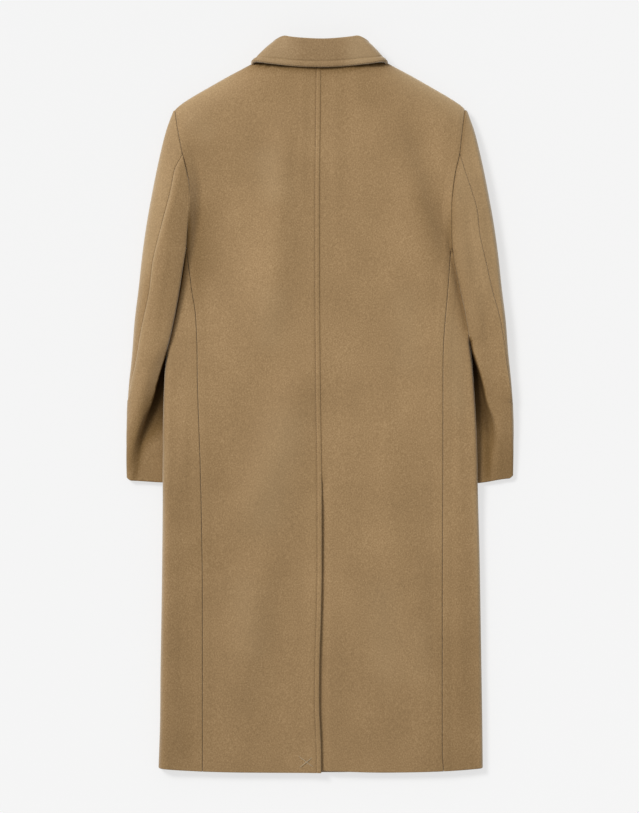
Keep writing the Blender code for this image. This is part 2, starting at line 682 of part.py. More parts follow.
def button(number, y):
    """A plain button with a rim and four holes, sewn to the under front inside the fly."""
    cloth = float(under_height(RIGHT, 0.0, y) + front_layer(0.0, y))
    middle = cloth - 0.4 - BUTTON_THICKNESS / 2
    bpy.ops.mesh.primitive_cylinder_add(
        vertices=16, radius=BUTTON_RADIUS * MM, depth=BUTTON_THICKNESS * MM,
        location=(0, y * MM, middle * MM))
    disc = bpy.context.active_object
    disc.name = "button_%d" % number
    disc.data.materials.append(material(disc.name + "_horn", "4a3526", 0.35))
    for index in range(4):
        turn = math.radians(45 + 90 * index)
        across = BUTTON_HOLE_RING * math.cos(turn)
        up = BUTTON_HOLE_RING * math.sin(turn)
        bpy.ops.mesh.primitive_cylinder_add(
            vertices=6, radius=BUTTON_HOLE_RADIUS * MM, depth=BUTTON_THICKNESS * 2 * MM,
            location=(across * MM, (y + up) * MM, middle * MM))
        hole = bpy.context.active_object
        hole.name = "button_%d_hole_%d" % (number, index)
        hole.hide_render = True
        hole.display_type = "WIRE"
        cut = disc.modifiers.new("hole", "BOOLEAN")
        cut.object = hole
        cut.operation = "DIFFERENCE"


for old in list(bpy.data.objects):
    bpy.data.objects.remove(old, do_unlink=True)

pieces = [cut(side) for side in (LEFT, RIGHT)
          for cut in (back_panel, side_panel, front_panel, top_sleeve, under_sleeve)]
pieces += [collar_stand(), collar_fall()]
share_normals(pieces)
for coat_piece in pieces:
    wall(coat_piece)
for count, button_y in enumerate(BUTTON_YS, start=1):
    button(count, button_y)
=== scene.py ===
"""A long mac coat in camel wool melton, lying on its buttoned front with its back up.

Sizes are in millimetres until a mesh is made. X runs across the coat, Y from the hem up to
the collar and Z up from the table. w is the distance from the coat's centre line, and side
is -1 on the wearer's left and 1 on the wearer's right.
"""

import math

import bpy
import numpy as np
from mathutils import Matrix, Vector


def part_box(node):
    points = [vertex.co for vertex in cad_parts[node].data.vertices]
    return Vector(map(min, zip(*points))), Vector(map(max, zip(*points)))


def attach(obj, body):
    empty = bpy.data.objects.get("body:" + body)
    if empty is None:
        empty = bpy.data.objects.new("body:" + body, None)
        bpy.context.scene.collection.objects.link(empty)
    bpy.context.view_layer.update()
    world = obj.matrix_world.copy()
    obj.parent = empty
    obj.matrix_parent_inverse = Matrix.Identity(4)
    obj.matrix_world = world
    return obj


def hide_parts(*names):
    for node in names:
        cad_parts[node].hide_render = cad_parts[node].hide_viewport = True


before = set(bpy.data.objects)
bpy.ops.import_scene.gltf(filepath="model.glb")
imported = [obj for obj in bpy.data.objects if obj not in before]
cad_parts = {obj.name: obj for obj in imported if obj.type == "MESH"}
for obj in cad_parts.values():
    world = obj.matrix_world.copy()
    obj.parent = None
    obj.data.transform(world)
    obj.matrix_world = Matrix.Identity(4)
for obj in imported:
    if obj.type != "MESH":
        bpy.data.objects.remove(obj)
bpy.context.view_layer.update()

# ------------------------------------------------------------------ Back
# Two back panels in melton, joined down the centre back, each cut from the neck to the hem.
# The seam is pressed to the wearer's left and topstitched; below it the left panel laps over
# the right one's extension to make the vent.
MM = 0.001
LEFT, RIGHT = -1, 1
SIDE_NAME = {LEFT: "left", RIGHT: "right"}
CLOTH = 2.2             # melton, one thickness
TURNED_UP = 38.0        # depth of the hem, where the cloth lies double
HEM_CLOTH = 1.9         # how much the cloth turned up there adds
HEM_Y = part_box("front_left")[0][1] / MM
UNDERARM_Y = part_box("side_left")[1][1] / MM
SHOULDER_Y = 479.4
SHOULDER_ROLL = 46.0    # how far the cloth takes to level out from the shoulder's edge
SHOULDER_SLOPE = math.radians(30)
NECK_W = 75.0
BACK_NECK_Y = 556.6
NECK_POINT_Y = 573.0
VENT_TOP_Y = -136.0
VENT_UNDERLAP = 45.0
VENT_OPENS = 2.6        # how far the vent's edge lifts off what lies under it
SEAM_GAP = 0.2          # how far short of a seam's line each piece ends
CENTRE_TOPSTITCH = 7.6  # from the folded edge of the centre seam
COLLAR_EDGE_Y = 547.0   # where the collar ends over the middle of the back
BODY_FACE_Z = 10.0      # what lies higher is the upper side of the body


def columns(names, rows):
    """Name the columns of a short table."""
    values = np.array(rows, dtype=float)
    return {name: values[:, i] for i, name in enumerate(names.split())}


BODY_EDGE = columns("y left right", (
    (-598.8, 263.3, 264.8), (-529, 261.0, 264.2), (-431, 260.0, 262.7), (-334, 258.4, 261.1),
    (-236, 257.1, 259.4), (-125, 256.1, 256.2), (-90, 255.9, 255.8), (-32, 255.6, 253.7),
    (20, 254.3, 250.8), (47, 253.2, 249.0), (77, 250.6, 246.6), (90, 249.6, 245.4),
    (103, 246.2, 243.8), (147, 236.7, 236.6), (186, 229.5, 228.2), (228, 222.9, 219.4),
    (254, 217.6, 213.8)))
SIDE_SEAM = columns("y left right", (
    (-598.8, 191.1, 200.7), (-560, 191.1, 198.6), (-310, 191.1, 198.6), (-215, 192.2, 198.9),
    (-97, 194.7, 199.4), (33, 199.1, 199.4), (99, 200.2, 200.5), (150, 203.0, 204.4),
    (186, 208.8, 207.6), (254, 216.9, 213.1)))
CENTRE_SEAM = columns("y x", (
    (-598.8, 2.0), (-560, 1.5), (-480, -1.3), (-400, -0.3), (-358, 1.1), (-260, 2.9),
    (-130, 2.9), (0, 1.2), (170, -0.4), (330, -0.5), (480, 0.8), (556.6, 1.8)))
ARMHOLE = columns("y left right front", (
    (254, 217.6, 213.8, 0.0), (280, 215.6, 212.4, 9.0), (315, 213.2, 212.4, 14.0),
    (350, 212.2, 215.4, 16.0), (378, 216.6, 219.8, 15.0), (405, 223.0, 226.4, 13.0),
    (430, 228.5, 229.4, 9.0), (455, 233.3, 232.4, 4.0), (479.4, 236.8, 235.6, 0.6)))
SHOULDER = columns("w y", (
    (0, 615.0), (75, 573.8), (111.6, 554.2), (147, 535.4), (205, 502.6), (215.8, 496.0),
    (225.4, 489.6), (237, 479.4), (300, 420.0)))
SLEEVE_OUTER = columns("y w", (
    (-127, 314.8), (-71, 315.4), (-19, 314.8), (33, 311.5), (85, 306.4), (137, 302.3),
    (189, 295.9), (241, 290.3), (293, 283.0), (345, 273.6), (397, 263.0), (449, 249.8),
    (473.6, 240.4), (479.4, 237.9)))
BODY_LEVEL = columns("y edge rise under_roll", (
    (-598.8, 8.0, 11.5, 17), (-400, 8.5, 12.5, 17), (-200, 9.0, 13.5, 15),
    (-150, 12.5, 11.5, 9), (-125, 15.5, 9.5, 7), (77, 15.5, 9.5, 7), (105, 12.5, 12.5, 12),
    (160, 10.5, 16.0, 16), (254, 10.5, 18.5, 17), (350, 12.0, 20.0, 18), (450, 14.0, 20.5, 20),
    (573, 16.0, 20.5, 22)))
SLEEVE_LEVEL = columns("y edge low ridge crease_width inner_roll outer_roll", (
    (-127, 5.2, 5.4, 2.0, 15, 8, 10), (-100, 5.2, 4.4, 7.0, 20, 8, 12),
    (-60, 5.4, 1.6, 14.5, 15, 8, 18), (-20, 5.6, -0.4, 21.5, 10, 8, 22),
    (8, 5.9, -1.0, 23.5, 6, 8, 24), (24, 6.0, -1.0, 24.5, 5, 8, 26),
    (60, 7.0, -1.0, 26.0, 4, 6, 28), (77, 8.5, 1.0, 24.5, 4, 4, 30),
    (103, 10.0, 5.0, 20.0, 4, 2, 32), (160, 10.5, 5.5, 19.5, 4, 2, 32),
    (254, 10.5, 5.5, 19.5, 4, 2, 32)))
# The main folds of the back, as lines down the cloth: how wide, how high or deep.
BACK_FOLDS = columns("x0 y0 x1 y1 width height", (
    (-50, 470, -84, 120, 26, 4.6), (44, 545, 110, 410, 25, 3.4),
    (117, 455, 197, 172, 34, 4.6), (162, 455, 244, 172, 24, -5.0),
    (78, 70, 132, -140, 26, 1.8), (-25, 50, -125, -200, 33, 5.4),
    (-247, -60, -250, -640, 28, 3.6), (-84, -240, -136, -480, 28, 5.4),
    (98, -120, 176, -450, 30, 3.6), (10, 60, 0, -300, 30, -1.6),
    (196, 160, 198, -70, 30, 3.2), (190, -120, 196, -460, 18, -2.0)))
# Where the back sinks beside the wearer's left sleeve: how deep, and how soon from its edge.
BACK_SUNK = columns("y depth start curve", (
    (66, 0, 6, 2), (90, 2.5, 6, 2), (113, 4.5, 7, 2), (153, 8, 10, 2), (202, 12.5, 13, 2),
    (254, 14, 16, 1.6), (308, 13, 18, 1), (365, 9.5, 19, 1), (425, 0, 19, 1)))
# Patches of painted shade on the back and sides, or below 0 painted highlight.
PAINTED_LIGHT_AND_SHADE = columns("x0 y0 x1 y1 width dark", (
    (-196, 335, -174, 200, 26, 0.10), (-206, 315, -200, 150, 15, 0.13),
    (165, 345, 186, 228, 24, 0.10), (-110, 508, 110, 502, 26, 0.055),
    (40, 472, 112, 440, 20, 0.04), (-92, 415, -70, 330, 26, -0.06),
    (-76, 190, -82, 90, 26, -0.05), (216, 145, 224, -20, 18, -0.07),
    (136, 186, 142, 50, 26, -0.045), (-48, -10, -96, -210, 34, -0.07),
    (-178, -40, -168, -140, 22, 0.07), (98, -290, 112, -450, 30, -0.045),
    (170, -350, 178, -450, 28, -0.04), (-126, -280, -108, -410, 30, -0.04),
    (-222, -548, -160, -542, 24, 0.05), (-216, 466, -172, 436, 22, -0.04),
    (-202, -222, -164, -272, 32, 0.07), (118, -50, 126, -140, 28, 0.045)))
# Small soft creases over them.
BACK_CREASES = columns("x0 y0 x1 y1 width height", (
    (-140, 300, -168, 180, 17, 0.8),
    (140, 470, 166, 380, 16, -1.3), (170, 362, 203, 250, 13, -1.6),
    (196, 330, 206, 268, 7, -1.0), (184, 230, 196, 150, 9, -0.9),
    (128, 84, 196, 74, 9, -0.5), (150, 96, 186, 104, 8, 0.45),
    (-60, 412, -96, 214, 17, 0.7), (60, 330, 84, 90, 22, 0.6),
    (-40, 120, -92, -60, 20, 0.6), (-112, -210, -142, -420, 15, 0.7),
    (84, -260, 100, -430, 16, 0.6), (34, -300, 52, -520, 12, -0.45),
    (-60, -330, -74, -540, 14, -0.5), (140, -120, 162, -330, 14, 0.5),
    (-27, 540, -30, 330, 8, 0.9), (24, 540, 27, 300, 9, 0.8), (58, 530, 66, 330, 10, 0.7),
    (-9, 300, -14, 60, 7, 0.4), (-17, -563, -18, -569, 1.8, -0.9),
    (-8, -584, -9, -590, 1.6, -0.8), (-36, -570, -41, -566, 1.8, -0.5),
    (-30, -552, -16, -560, 4, -0.8), (-60, -574, -40, -566, 4, -0.5),
    (-24, -579, -22, -581, 7, 0.7)))


def smooth_curve(stations, values, at):
    """Cubic through the stations that never swings past them."""
    step = np.diff(stations)
    slope = np.diff(values) / step
    tangent = np.concatenate((slope[:1], (slope[:-1] + slope[1:]) / 2, slope[-1:]))
    for i in range(1, len(tangent) - 1):
        least = min(abs(slope[i - 1]), abs(slope[i]))
        turning = slope[i - 1] * slope[i] <= 0
        tangent[i] = 0.0 if turning else float(np.clip(tangent[i], -3 * least, 3 * least))
    at = np.clip(at, stations[0], stations[-1])
    i = np.clip(np.searchsorted(stations, at, side="right") - 1, 0, len(step) - 1)
    t = (at - stations[i]) / step[i]
    rise = values[i + 1] - values[i]
    start = tangent[i] * step[i]
    end = tangent[i + 1] * step[i]
    return values[i] + t * (start + t * (3 * rise - 2 * start - end
                                         + t * (start + end - 2 * rise)))


def read(table, name, y):
    """A column of a table by y, smooth between its rows; name is the column's or a side."""
    values = table[SIDE_NAME.get(name, name)]
    return smooth_curve(table["y"], values, np.asarray(y, dtype=float))


def run_along(points):
    """Distance along a line of points from its first one."""
    return np.concatenate(([0.0], np.cumsum(np.linalg.norm(np.diff(points, axis=0), axis=1))))


def smoothstep(t):
    t = np.clip(t, 0.0, 1.0)
    return t * t * (3 - 2 * t)


def ease(at, start, end):
    """0 at the start and 1 at the end, smooth between them, whichever is the higher."""
    return smoothstep((at - start) / (end - start))


def roll(distance, reach):
    """Quarter ellipse: 0 at the edge with an upright side, 1 from reach inwards."""
    t = np.clip(distance / reach, 0.0, 1.0)
    return np.sqrt(1 - (1 - t) ** 2)


def creases(table, x, y):
    """Soft ridges and troughs along the table's lines, fading out at both ends."""
    total = np.zeros_like(np.asarray(x, dtype=float))
    for x0, y0, x1, y1, width, height in zip(*table.values()):
        length = math.hypot(x1 - x0, y1 - y0)
        along = ((x - x0) * (x1 - x0) + (y - y0) * (y1 - y0)) / length
        across = ((x - x0) * (y1 - y0) - (y - y0) * (x1 - x0)) / length
        taper = 0.35 * length
        ends = smoothstep(0.5 + along / taper) * smoothstep(0.5 + (length - along) / taper)
        total = total + height * ends * np.exp(-(across / width) ** 2)
    return total


def drift(x, y):
    """The slow unevenness of a heavy cloth laid by hand, about half a millimetre."""
    a = np.sin(x / 31.0 + 1.3 * np.sin(y / 83.0)) * np.sin(y / 57.0 + 0.8 + x / 190.0)
    b = np.sin(x / 17.3 - y / 71.0 + 2.1) * np.sin(y / 133.0 - 0.6)
    return 0.34 * a + 0.2 * b


def body_edge(side, y):
    return read(BODY_EDGE, side, y)


def back_armhole(side, y):
    return read(ARMHOLE, side, y)


def inside_sleeve_line(side, w, y):
    """How far a point of the body lies in from the line where the sleeve joins or meets it."""
    line = np.where(y < UNDERARM_Y, body_edge(side, np.minimum(y, UNDERARM_Y)),
                    back_armhole(side, y))
    return line - w


def below_shoulder(w, y):
    """How far a point lies inside the shoulder line."""
    return (np.interp(w, SHOULDER["w"], SHOULDER["y"]) - y) * math.cos(SHOULDER_SLOPE)


def from_parting(side, w, y):
    """Distance to the line where sleeve and body part, which ends at the underarm."""
    across = w - body_edge(side, np.minimum(y, UNDERARM_Y))
    return np.hypot(across, np.maximum(y - UNDERARM_Y, 0.0))


def pushed_up(side, y):
    """How much higher the folded edges meet where sleeve and body press on each other."""
    lowest, height = (226, 13.0) if side == LEFT else (94, 15.5)
    return height * ease(y, lowest, lowest + 27) * ease(y, 278, 254)


def edge_level(side, w, y):
    near = 1 - ease(from_parting(side, w, y), 0, 30)
    return read(BODY_LEVEL, "edge", y) + pushed_up(side, y) * near


def sleeve_level(side, w, y):
    """How far the sleeve rises over its folded edge, from the underarm upwards."""
    full = read(SLEEVE_LEVEL, "low", UNDERARM_Y) + read(SLEEVE_LEVEL, "ridge", UNDERARM_Y)
    return full + read(BODY_LEVEL, "edge", y) - edge_level(side, w, y)


def outer_edge(side, w, y, reach=32.0):
    """The sleeve's outer edge: rolled on the left, pressed flatter on the right."""
    distance = read(SLEEVE_OUTER, "w", y) - w
    if side == LEFT:
        return roll(distance, 1.25 * reach)
    return roll(distance, 0.2 * reach) * (0.72 + 0.28 * ease(distance, 0, 70))


def top_height(side, w, y):
    """Upper side of the body, and of the sleeve above the underarm."""
    above = y >= UNDERARM_Y
    shared = ease(y, UNDERARM_Y, UNDERARM_Y + 60)
    edge = edge_level(side, w, y)
    body = read(BODY_LEVEL, "rise", y) + read(BODY_LEVEL, "edge", y) - edge
    sleeve = sleeve_level(side, w, y) - 9.0 * ease(y, 330, 480)
    on_sleeve = shared * ease(w - back_armhole(side, y), -14, 14)
    folded = body + creases(BACK_FOLDS, side * w, y)
    rise = folded * (1 - on_sleeve) + sleeve * on_sleeve
    reach = 11 if side == LEFT else 4
    reach = reach + (6 - reach) * ease(y, 60, 100) - 4 * ease(y, 220, 250)
    apart = from_parting(side, w, y)
    rounded = roll(apart, reach)
    if side == RIGHT:
        rounded = rounded * (1 - 0.15 * (1 - ease(apart, 0, 45)) * ease(y, 90, 30))
    outer = roll(below_shoulder(w, y), SHOULDER_ROLL) * outer_edge(side, w, y)
    return edge + rise * rounded * np.where(above, outer, 1.0)


def beside_sleeve(side, w, y):
    """How far the body lies lower beside the sleeve that laps over or stands against it."""
    inside = inside_sleeve_line(side, w, y)
    if side == RIGHT:
        along = ease(y, 100, 140) * ease(y, 352, 274)
        return 2.0 * along * np.exp(-((inside - 2) / 5) ** 2) * roll(inside, 3)
    start = np.clip(inside / read(BACK_SUNK, "start", y), 0, 1)
    start = 0.25 + 0.75 * (1 - (1 - start) ** read(BACK_SUNK, "curve", y))
    return read(BACK_SUNK, "depth", y) * start * (1 - ease(inside, 50, 150))


def body_height(side, w, y):
    return top_height(side, w, y) - beside_sleeve(side, w, y)


def hem_drop(w, y):
    """The hem rises a little to each side and its corners are rounded."""
    return 7.0 * (w / 264) ** 4 * ease(y, -480, -598)


def spaced(first, last, step, fine=(0.0, 0.5, 1.1, 1.9, 3.0, 4.6, 7.5)):
    """Stations from first to last, even but closer together towards both ends."""
    near = np.array(fine)
    count = max(int((last - first - 2 * near[-1]) / step), 2)
    middle = np.linspace(first + near[-1], last - near[-1], count + 1)[1:-1]
    return np.concatenate((first + near, middle, last - near[::-1]))


SEAM_STATIONS = (0.0, 0.4, 0.8, 1.3, 1.9, 2.7, 3.8, 5.4, 7.6)
NO_SEAM = 99.0
DENSE = 320          # points on a row before between_seams() picks from it
UNDERLAP_POINTS = 7  # across the vent's extension
BACK_POINTS = 36     # across half of the back, besides those close to its seams


def between_seams(row, count, stations=SEAM_STATIONS):
    """Points along a dense row, close together beside its two ends and even between.

    Each is x, y, z and the distance along the cloth from the row's first and last end.
    """
    row = np.asarray(row, dtype=float)
    run = run_along(row)
    length = run[-1]
    near = np.array(stations) * min(1.0, length / (2.6 * stations[-1]))
    middle = np.linspace(near[-1], length - near[-1], count)[1:-1]
    at = np.concatenate((near, middle, length - near[::-1]))
    points = [np.interp(at, run, row[:, axis]) for axis in range(3)]
    return np.stack(points + [at, length - at], axis=1)


def turned_in(distance, depth=1.0, width=2.2):
    """How far the face of the cloth has turned down at a distance from a sewn edge."""
    return -depth * (1 - roll(distance, width))


def pressed_seam(distance):
    """A pressed-open seam: the turned edge, and the allowance that fills the cloth behind."""
    return turned_in(distance, 1.2) + 0.42 * ease(distance, 14.5, 10.5) - 0.42


def linear(hex_colour):
    """An sRGB hex colour as linear red, green, blue and alpha."""
    srgb = [int(hex_colour[i:i + 2], 16) / 255 for i in (0, 2, 4)]
    return [c / 12.92 if c <= 0.04045 else ((c + 0.055) / 1.055) ** 2.4 for c in srgb] + [1.0]


def link(tree, node, sources):
    """Link the named inputs to their sources: sockets, or nodes for their first output."""
    for name, source in dict(sources).items():
        is_node = isinstance(source, bpy.types.Node)
        tree.links.new(source.outputs[0] if is_node else source, node.inputs[name])


def add(tree, kind, settings=(), sources=()):
    """Add a node: settings go to its fields or sockets, sources are linked to its inputs."""
    node = tree.nodes.new(kind)
    for name, value in dict(settings).items():
        if isinstance(name, str) and hasattr(node, name):
            setattr(node, name, value)
        else:
            node.inputs[name].default_value = value
    link(tree, node, sources)
    return node


def material(name, constants):
    """A new material with its constants set, its nodes, its shader and the place shaded."""
    made = bpy.data.materials.new(name)
    made.use_nodes = True
    shader = made.node_tree.nodes["Principled BSDF"]
    for socket, value in constants.items():
        shader.inputs[socket].default_value = value
    place = add(made.node_tree, "ShaderNodeTexCoord").outputs["Object"]
    return made, made.node_tree, shader, place


def melton(name, face, shade, light):
    """Wool melton: woven, milled until the weave closes, then raised and cropped.

    The short nap hides the weave, scatters light with no gloss and gives a soft bloom at a
    slant. Its tufts are under a millimetre and are drawn about two millimetres wide to
    show. A point attribute paints shade and light into the colour: at 1 it is painted shade
    towards a dark brown, with less gloss and sheen, in folds, crevices and under edges where
    shade falls, and below 0 it is a painted highlight towards pale along rolled edges.
    """
    cloth, tree, shader, place = material(name, {
        "Roughness": 0.7, "Sheen Roughness": 0.48, "Sheen Tint": linear("e6dccb")})
    brushed = add(tree, "ShaderNodeMapping", {"Scale": (1.0, 0.8, 1.0)}, {"Vector": place})
    tufts, fibres, cast = [
        add(tree, "ShaderNodeTexNoise", {"Scale": 1000 / width, "Detail": detail,
                                         "Roughness": roughness}, {"Vector": vector})
        for width, detail, roughness, vector in (
            (2.1, 3.0, 0.62, brushed), (1.2, 2.0, 0.7, brushed), (85.0, 2.0, 0.45, place))]
    nap = add(tree, "ShaderNodeMix", {"data_type": "FLOAT", 0: 0.3}, {2: tufts, 3: fibres})
    tone = add(tree, "ShaderNodeMath", {"operation": "MULTIPLY_ADD", 1: 0.22},
               {0: cast, 2: nap})
    ramp = add(tree, "ShaderNodeValToRGB", (), {"Fac": tone})
    for stop, position, colour in zip(ramp.color_ramp.elements, (0.38, 0.84), (shade, light)):
        stop.position = position
        stop.color = linear(colour)
    ramp.color_ramp.elements.new(0.61).color = linear(face)
    bump = add(tree, "ShaderNodeBump", {"Strength": 0.9, "Distance": 0.0008}, {"Height": nap})
    # Painted shade and painted highlight: the attribute mixes the colour towards pale below 0
    # and towards dark brown above 0, and the painted shade also takes gloss and sheen away.
    painted_shading = add(tree, "ShaderNodeAttribute", {"attribute_name": "painted_shading"}).outputs["Fac"]
    raised = add(tree, "ShaderNodeMapRange", {1: -1.0, 2: 0.0, 3: 1.0, 4: 0.0}, {0: painted_shading})
    pale = add(tree, "ShaderNodeMix", {"data_type": "RGBA", 7: linear("e0c69b")},
               {0: raised, 6: ramp})
    painted_shade_mix = add(tree, "ShaderNodeMix", {"data_type": "RGBA", 7: linear("281809")},
                  {0: painted_shading, 6: pale.outputs[2]})
    gloss = add(tree, "ShaderNodeMapRange", {2: 0.4, 3: 0.42, 4: 0.0}, {0: painted_shading})
    bloom = add(tree, "ShaderNodeMapRange", {2: 0.4, 3: 1.0, 4: 0.0}, {0: painted_shading})
    link(tree, shader, {"Base Color": painted_shade_mix.outputs[2], "Normal": bump,
                        "Specular IOR Level": gloss, "Sheen Weight": bloom})
    return cloth


CAMEL = melton("camel_wool_melton", "96774d", "80643d", "af8f64")


def make_piece(name, points, faces, finish):
    """A smooth mesh from points in millimetres, in the coat's one body."""
    mesh = bpy.data.meshes.new(name)
    mesh.from_pydata(points * MM, [], faces)
    mesh.validate()
    mesh.shade_smooth()
    mesh.materials.append(finish)
    piece = bpy.data.objects.new(name, mesh)
    bpy.context.collection.objects.link(piece)
    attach(piece, "root")
    return piece


def sew(node, grids, flip, relief, cloth=CAMEL, thickness=CLOTH, hem=0.0,
        painted_shading=None):
    """Make a piece of cloth from grids of its face, and stand it in its CAD solid's place.

    relief moves the face out along its normal, from the points, the normals and the
    distances to the first, last, lowest and highest edges of the grid. hem is the depth of
    the turned-up cloth at the lowest edge. The last argument gives the painted shade and
    painted highlight of each point, as melton() takes them. Returns the object and the moved
    first grid.
    """
    known, gauge, faces, numbered = {}, [], [], []
    for grid in grids:
        step = np.linalg.norm(np.diff(grid[..., :3], axis=0), axis=2)
        low = np.concatenate((np.zeros((1, grid.shape[1])), np.cumsum(step, axis=0)))
        full = np.dstack((grid, low, low[-1] - low))
        number = np.empty(grid.shape[:2], dtype=int)
        for r, row in enumerate(full.tolist()):
            for c, values in enumerate(row):
                key = (round(values[0], 3), round(values[1], 3), round(values[2], 3))
                if key not in known:
                    known[key] = len(known)
                    gauge.append(values)
                number[r, c] = known[key]
        numbered.append(number)
        ids = number.tolist()
        for row, upper in zip(ids, ids[1:]):
            for c in range(len(row) - 1):
                corners = list(dict.fromkeys((row[c], row[c + 1], upper[c + 1], upper[c])))
                if len(corners) > 2:
                    faces.append(corners[::-1] if flip else corners)
    gauge = np.array(gauge)
    base = gauge[:, :3]
    first, last, low, high = gauge[:, 3:].T
    normals = np.zeros_like(base)
    for face in faces:
        way = np.cross(base[face[2]] - base[face[0]], base[face[-1]] - base[face[1]])
        for corner in face:
            normals[corner] += way
    normals = normals / np.maximum(np.linalg.norm(normals, axis=1), 1e-9)[:, None]
    face_points = base + normals * relief(base, normals, first, last, low, high)[:, None]
    doubled = HEM_CLOTH * ease(low, hem, hem - 2.0) if hem else np.zeros(len(base))
    back_points = base - normals * (thickness + doubled)[:, None]
    edges = {(a, b): None for face in faces for a, b in zip(face, face[1:] + face[:1])}
    count = len(base)
    shell = list(faces)
    shell += [[i + count for i in face[::-1]] for face in faces]
    shell += [[b, a, a + count, b + count] for a, b in edges if (b, a) not in edges]
    piece = make_piece(node + "_cloth", np.concatenate((face_points, back_points)), shell, cloth)
    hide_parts(node)
    # Store the painted shade and painted highlight on the points, for melton() to mix into the
    # colour.
    if painted_shading:
        depth = piece.data.attributes.new("painted_shading", "FLOAT", "POINT")
        depth.data.foreach_set("value", np.tile(painted_shading(base), 2).astype(np.float32))
    return piece, face_points[numbered[0]]


def yoke_plan(inner, neck, armhole, u, v):
    """Plan points between the underarm and the neck and shoulder, blended from four edges.

    u runs from the centre edge to the armhole and v from the underarm to the shoulder.
    """
    start = inner(UNDERARM_Y)
    neck_start = inner(BACK_NECK_Y)
    end = armhole(SHOULDER_Y)
    top_w = np.where(u < 0.5, neck_start + (NECK_W - neck_start) * u / 0.5,
                     NECK_W + (end - NECK_W) * (u - 0.5) / 0.5)
    top_y = np.where(u < 0.5, neck(np.minimum(top_w, NECK_W)),
                     np.interp(top_w, SHOULDER["w"], SHOULDER["y"]))
    top = np.stack((top_w, top_y), axis=1)
    low_w = start + (armhole(UNDERARM_Y) - start) * u
    low = np.stack((low_w, np.full_like(u, UNDERARM_Y)), axis=1)
    inner_y = UNDERARM_Y + v * (top_y[0] - UNDERARM_Y)
    outer_y = UNDERARM_Y + v * (top_y[-1] - UNDERARM_Y)
    edge_in = np.array((float(inner(inner_y)), inner_y))
    edge_out = np.array((float(armhole(outer_y)), outer_y))
    across = (1 - u)[:, None] * edge_in + u[:, None] * edge_out
    down = (1 - v) * low + v * top
    corners = ((1 - v) * ((1 - u)[:, None] * low[0] + u[:, None] * low[-1])
               + v * ((1 - u)[:, None] * top[0] + u[:, None] * top[-1]))
    return across + down - corners


def back_neck(w):
    return BACK_NECK_Y + (NECK_POINT_Y - BACK_NECK_Y) * (w / NECK_W) ** 2


# The rows of points up the body, close together over the hem, and those from the underarm
# to the shoulder as shares of the way.
HEM_ROWS = np.concatenate((spaced(HEM_Y, HEM_Y + 60, 2.6)[:-7],
                           spaced(HEM_Y + 54, UNDERARM_Y, 6.0)[6:]))
YOKE_SHARES = spaced(0.0, 1.0, 0.028, (0.0, 0.002, 0.005, 0.009, 0.015, 0.025))[1:]
CENTRE_STATIONS = (0.0, 0.4, 0.8, 1.3, 1.9, 2.7, 3.8, 5.2, 6.4, 7.1, 7.6, 8.1, 8.8, 10.4,
                   12.5, 15.0, 17.5, 20.0, 22.5, 25.0, 28.0, 31.0, 34.5, 38.5)


def fade(distance, reach):
    """1 at an edge and outside it, dying away inwards."""
    return np.exp(-np.maximum(distance, 0) / reach)


def body_painted_shading(side):
    """Painted shade and painted highlight of the body, as melton() takes them.

    Painted shade falls beside the sleeve, as a shadow under the collar's edge and in the
    centre seam's groove; painted highlight runs along the shoulder and the lower rolled
    edges, with the table of painted patches over all.
    """
    def painted_shading(p):
        x, y = p[:, 0], p[:, 1]
        w = side * x
        inside = inside_sleeve_line(side, w, y)
        # Painted shade where the sleeve shades the body beside it.
        if side == LEFT:
            beside = 0.06 + 0.54 * ease(y, 96, 226) * ease(y, 350, 270)
            beside = beside * ease(y, 76, 100) * fade(inside, 8.5)
        else:
            beside = 0.3 * ease(y, 100, 130) * ease(y, 340, 260) * fade(inside, 6)
        # Painted shadow under the collar's edge, with a softer, wider one below it.
        below = np.maximum(COLLAR_EDGE_Y + 10.5 * (w / 107.5) ** 2 - y, 0)
        soft = 0.15 * (1 - 0.45 * ease(x, 30, 65))
        under = 0.72 * fade(below, 3.6) + soft * np.exp(-(below / 26) ** 2)
        # Painted shade in the groove of the centre seam, above the vent.
        sewn = 0.2 * np.exp(-((x - read(CENTRE_SEAM, "x", y)) / 1.1) ** 2)
        sewn = sewn * ease(y, VENT_TOP_Y, VENT_TOP_Y + 20)
        dark = np.maximum(np.maximum(beside, under), sewn)
        # Painted highlight along the shoulder and the rolled edges, plus the painted patches;
        # none where there is painted shade.
        pale = (0.16 if side == LEFT else 0.3) * np.exp(-below_shoulder(w, y) / 15)
        pale = pale - creases(PAINTED_LIGHT_AND_SHADE, x, y)
        if side == LEFT:
            pale = pale - 0.07 * ease(w, 170, 220) * ease(y, 0, -200)
            pale = pale + 0.1 * fade(inside, 12) * ease(y, -40, -80) * ease(y, -500, -400)
        else:
            pale = pale - 0.09 * ease(w, 150, 210) * ease(y, -200, -450)
            pale = pale + 0.32 * fade(inside, 4.5) * ease(y, -130, -160)
        pale = pale * (1 - smoothstep(dark / 0.2))
        return np.where(p[:, 2] > BODY_FACE_Z, dark - pale, 0.0)
    return painted_shading


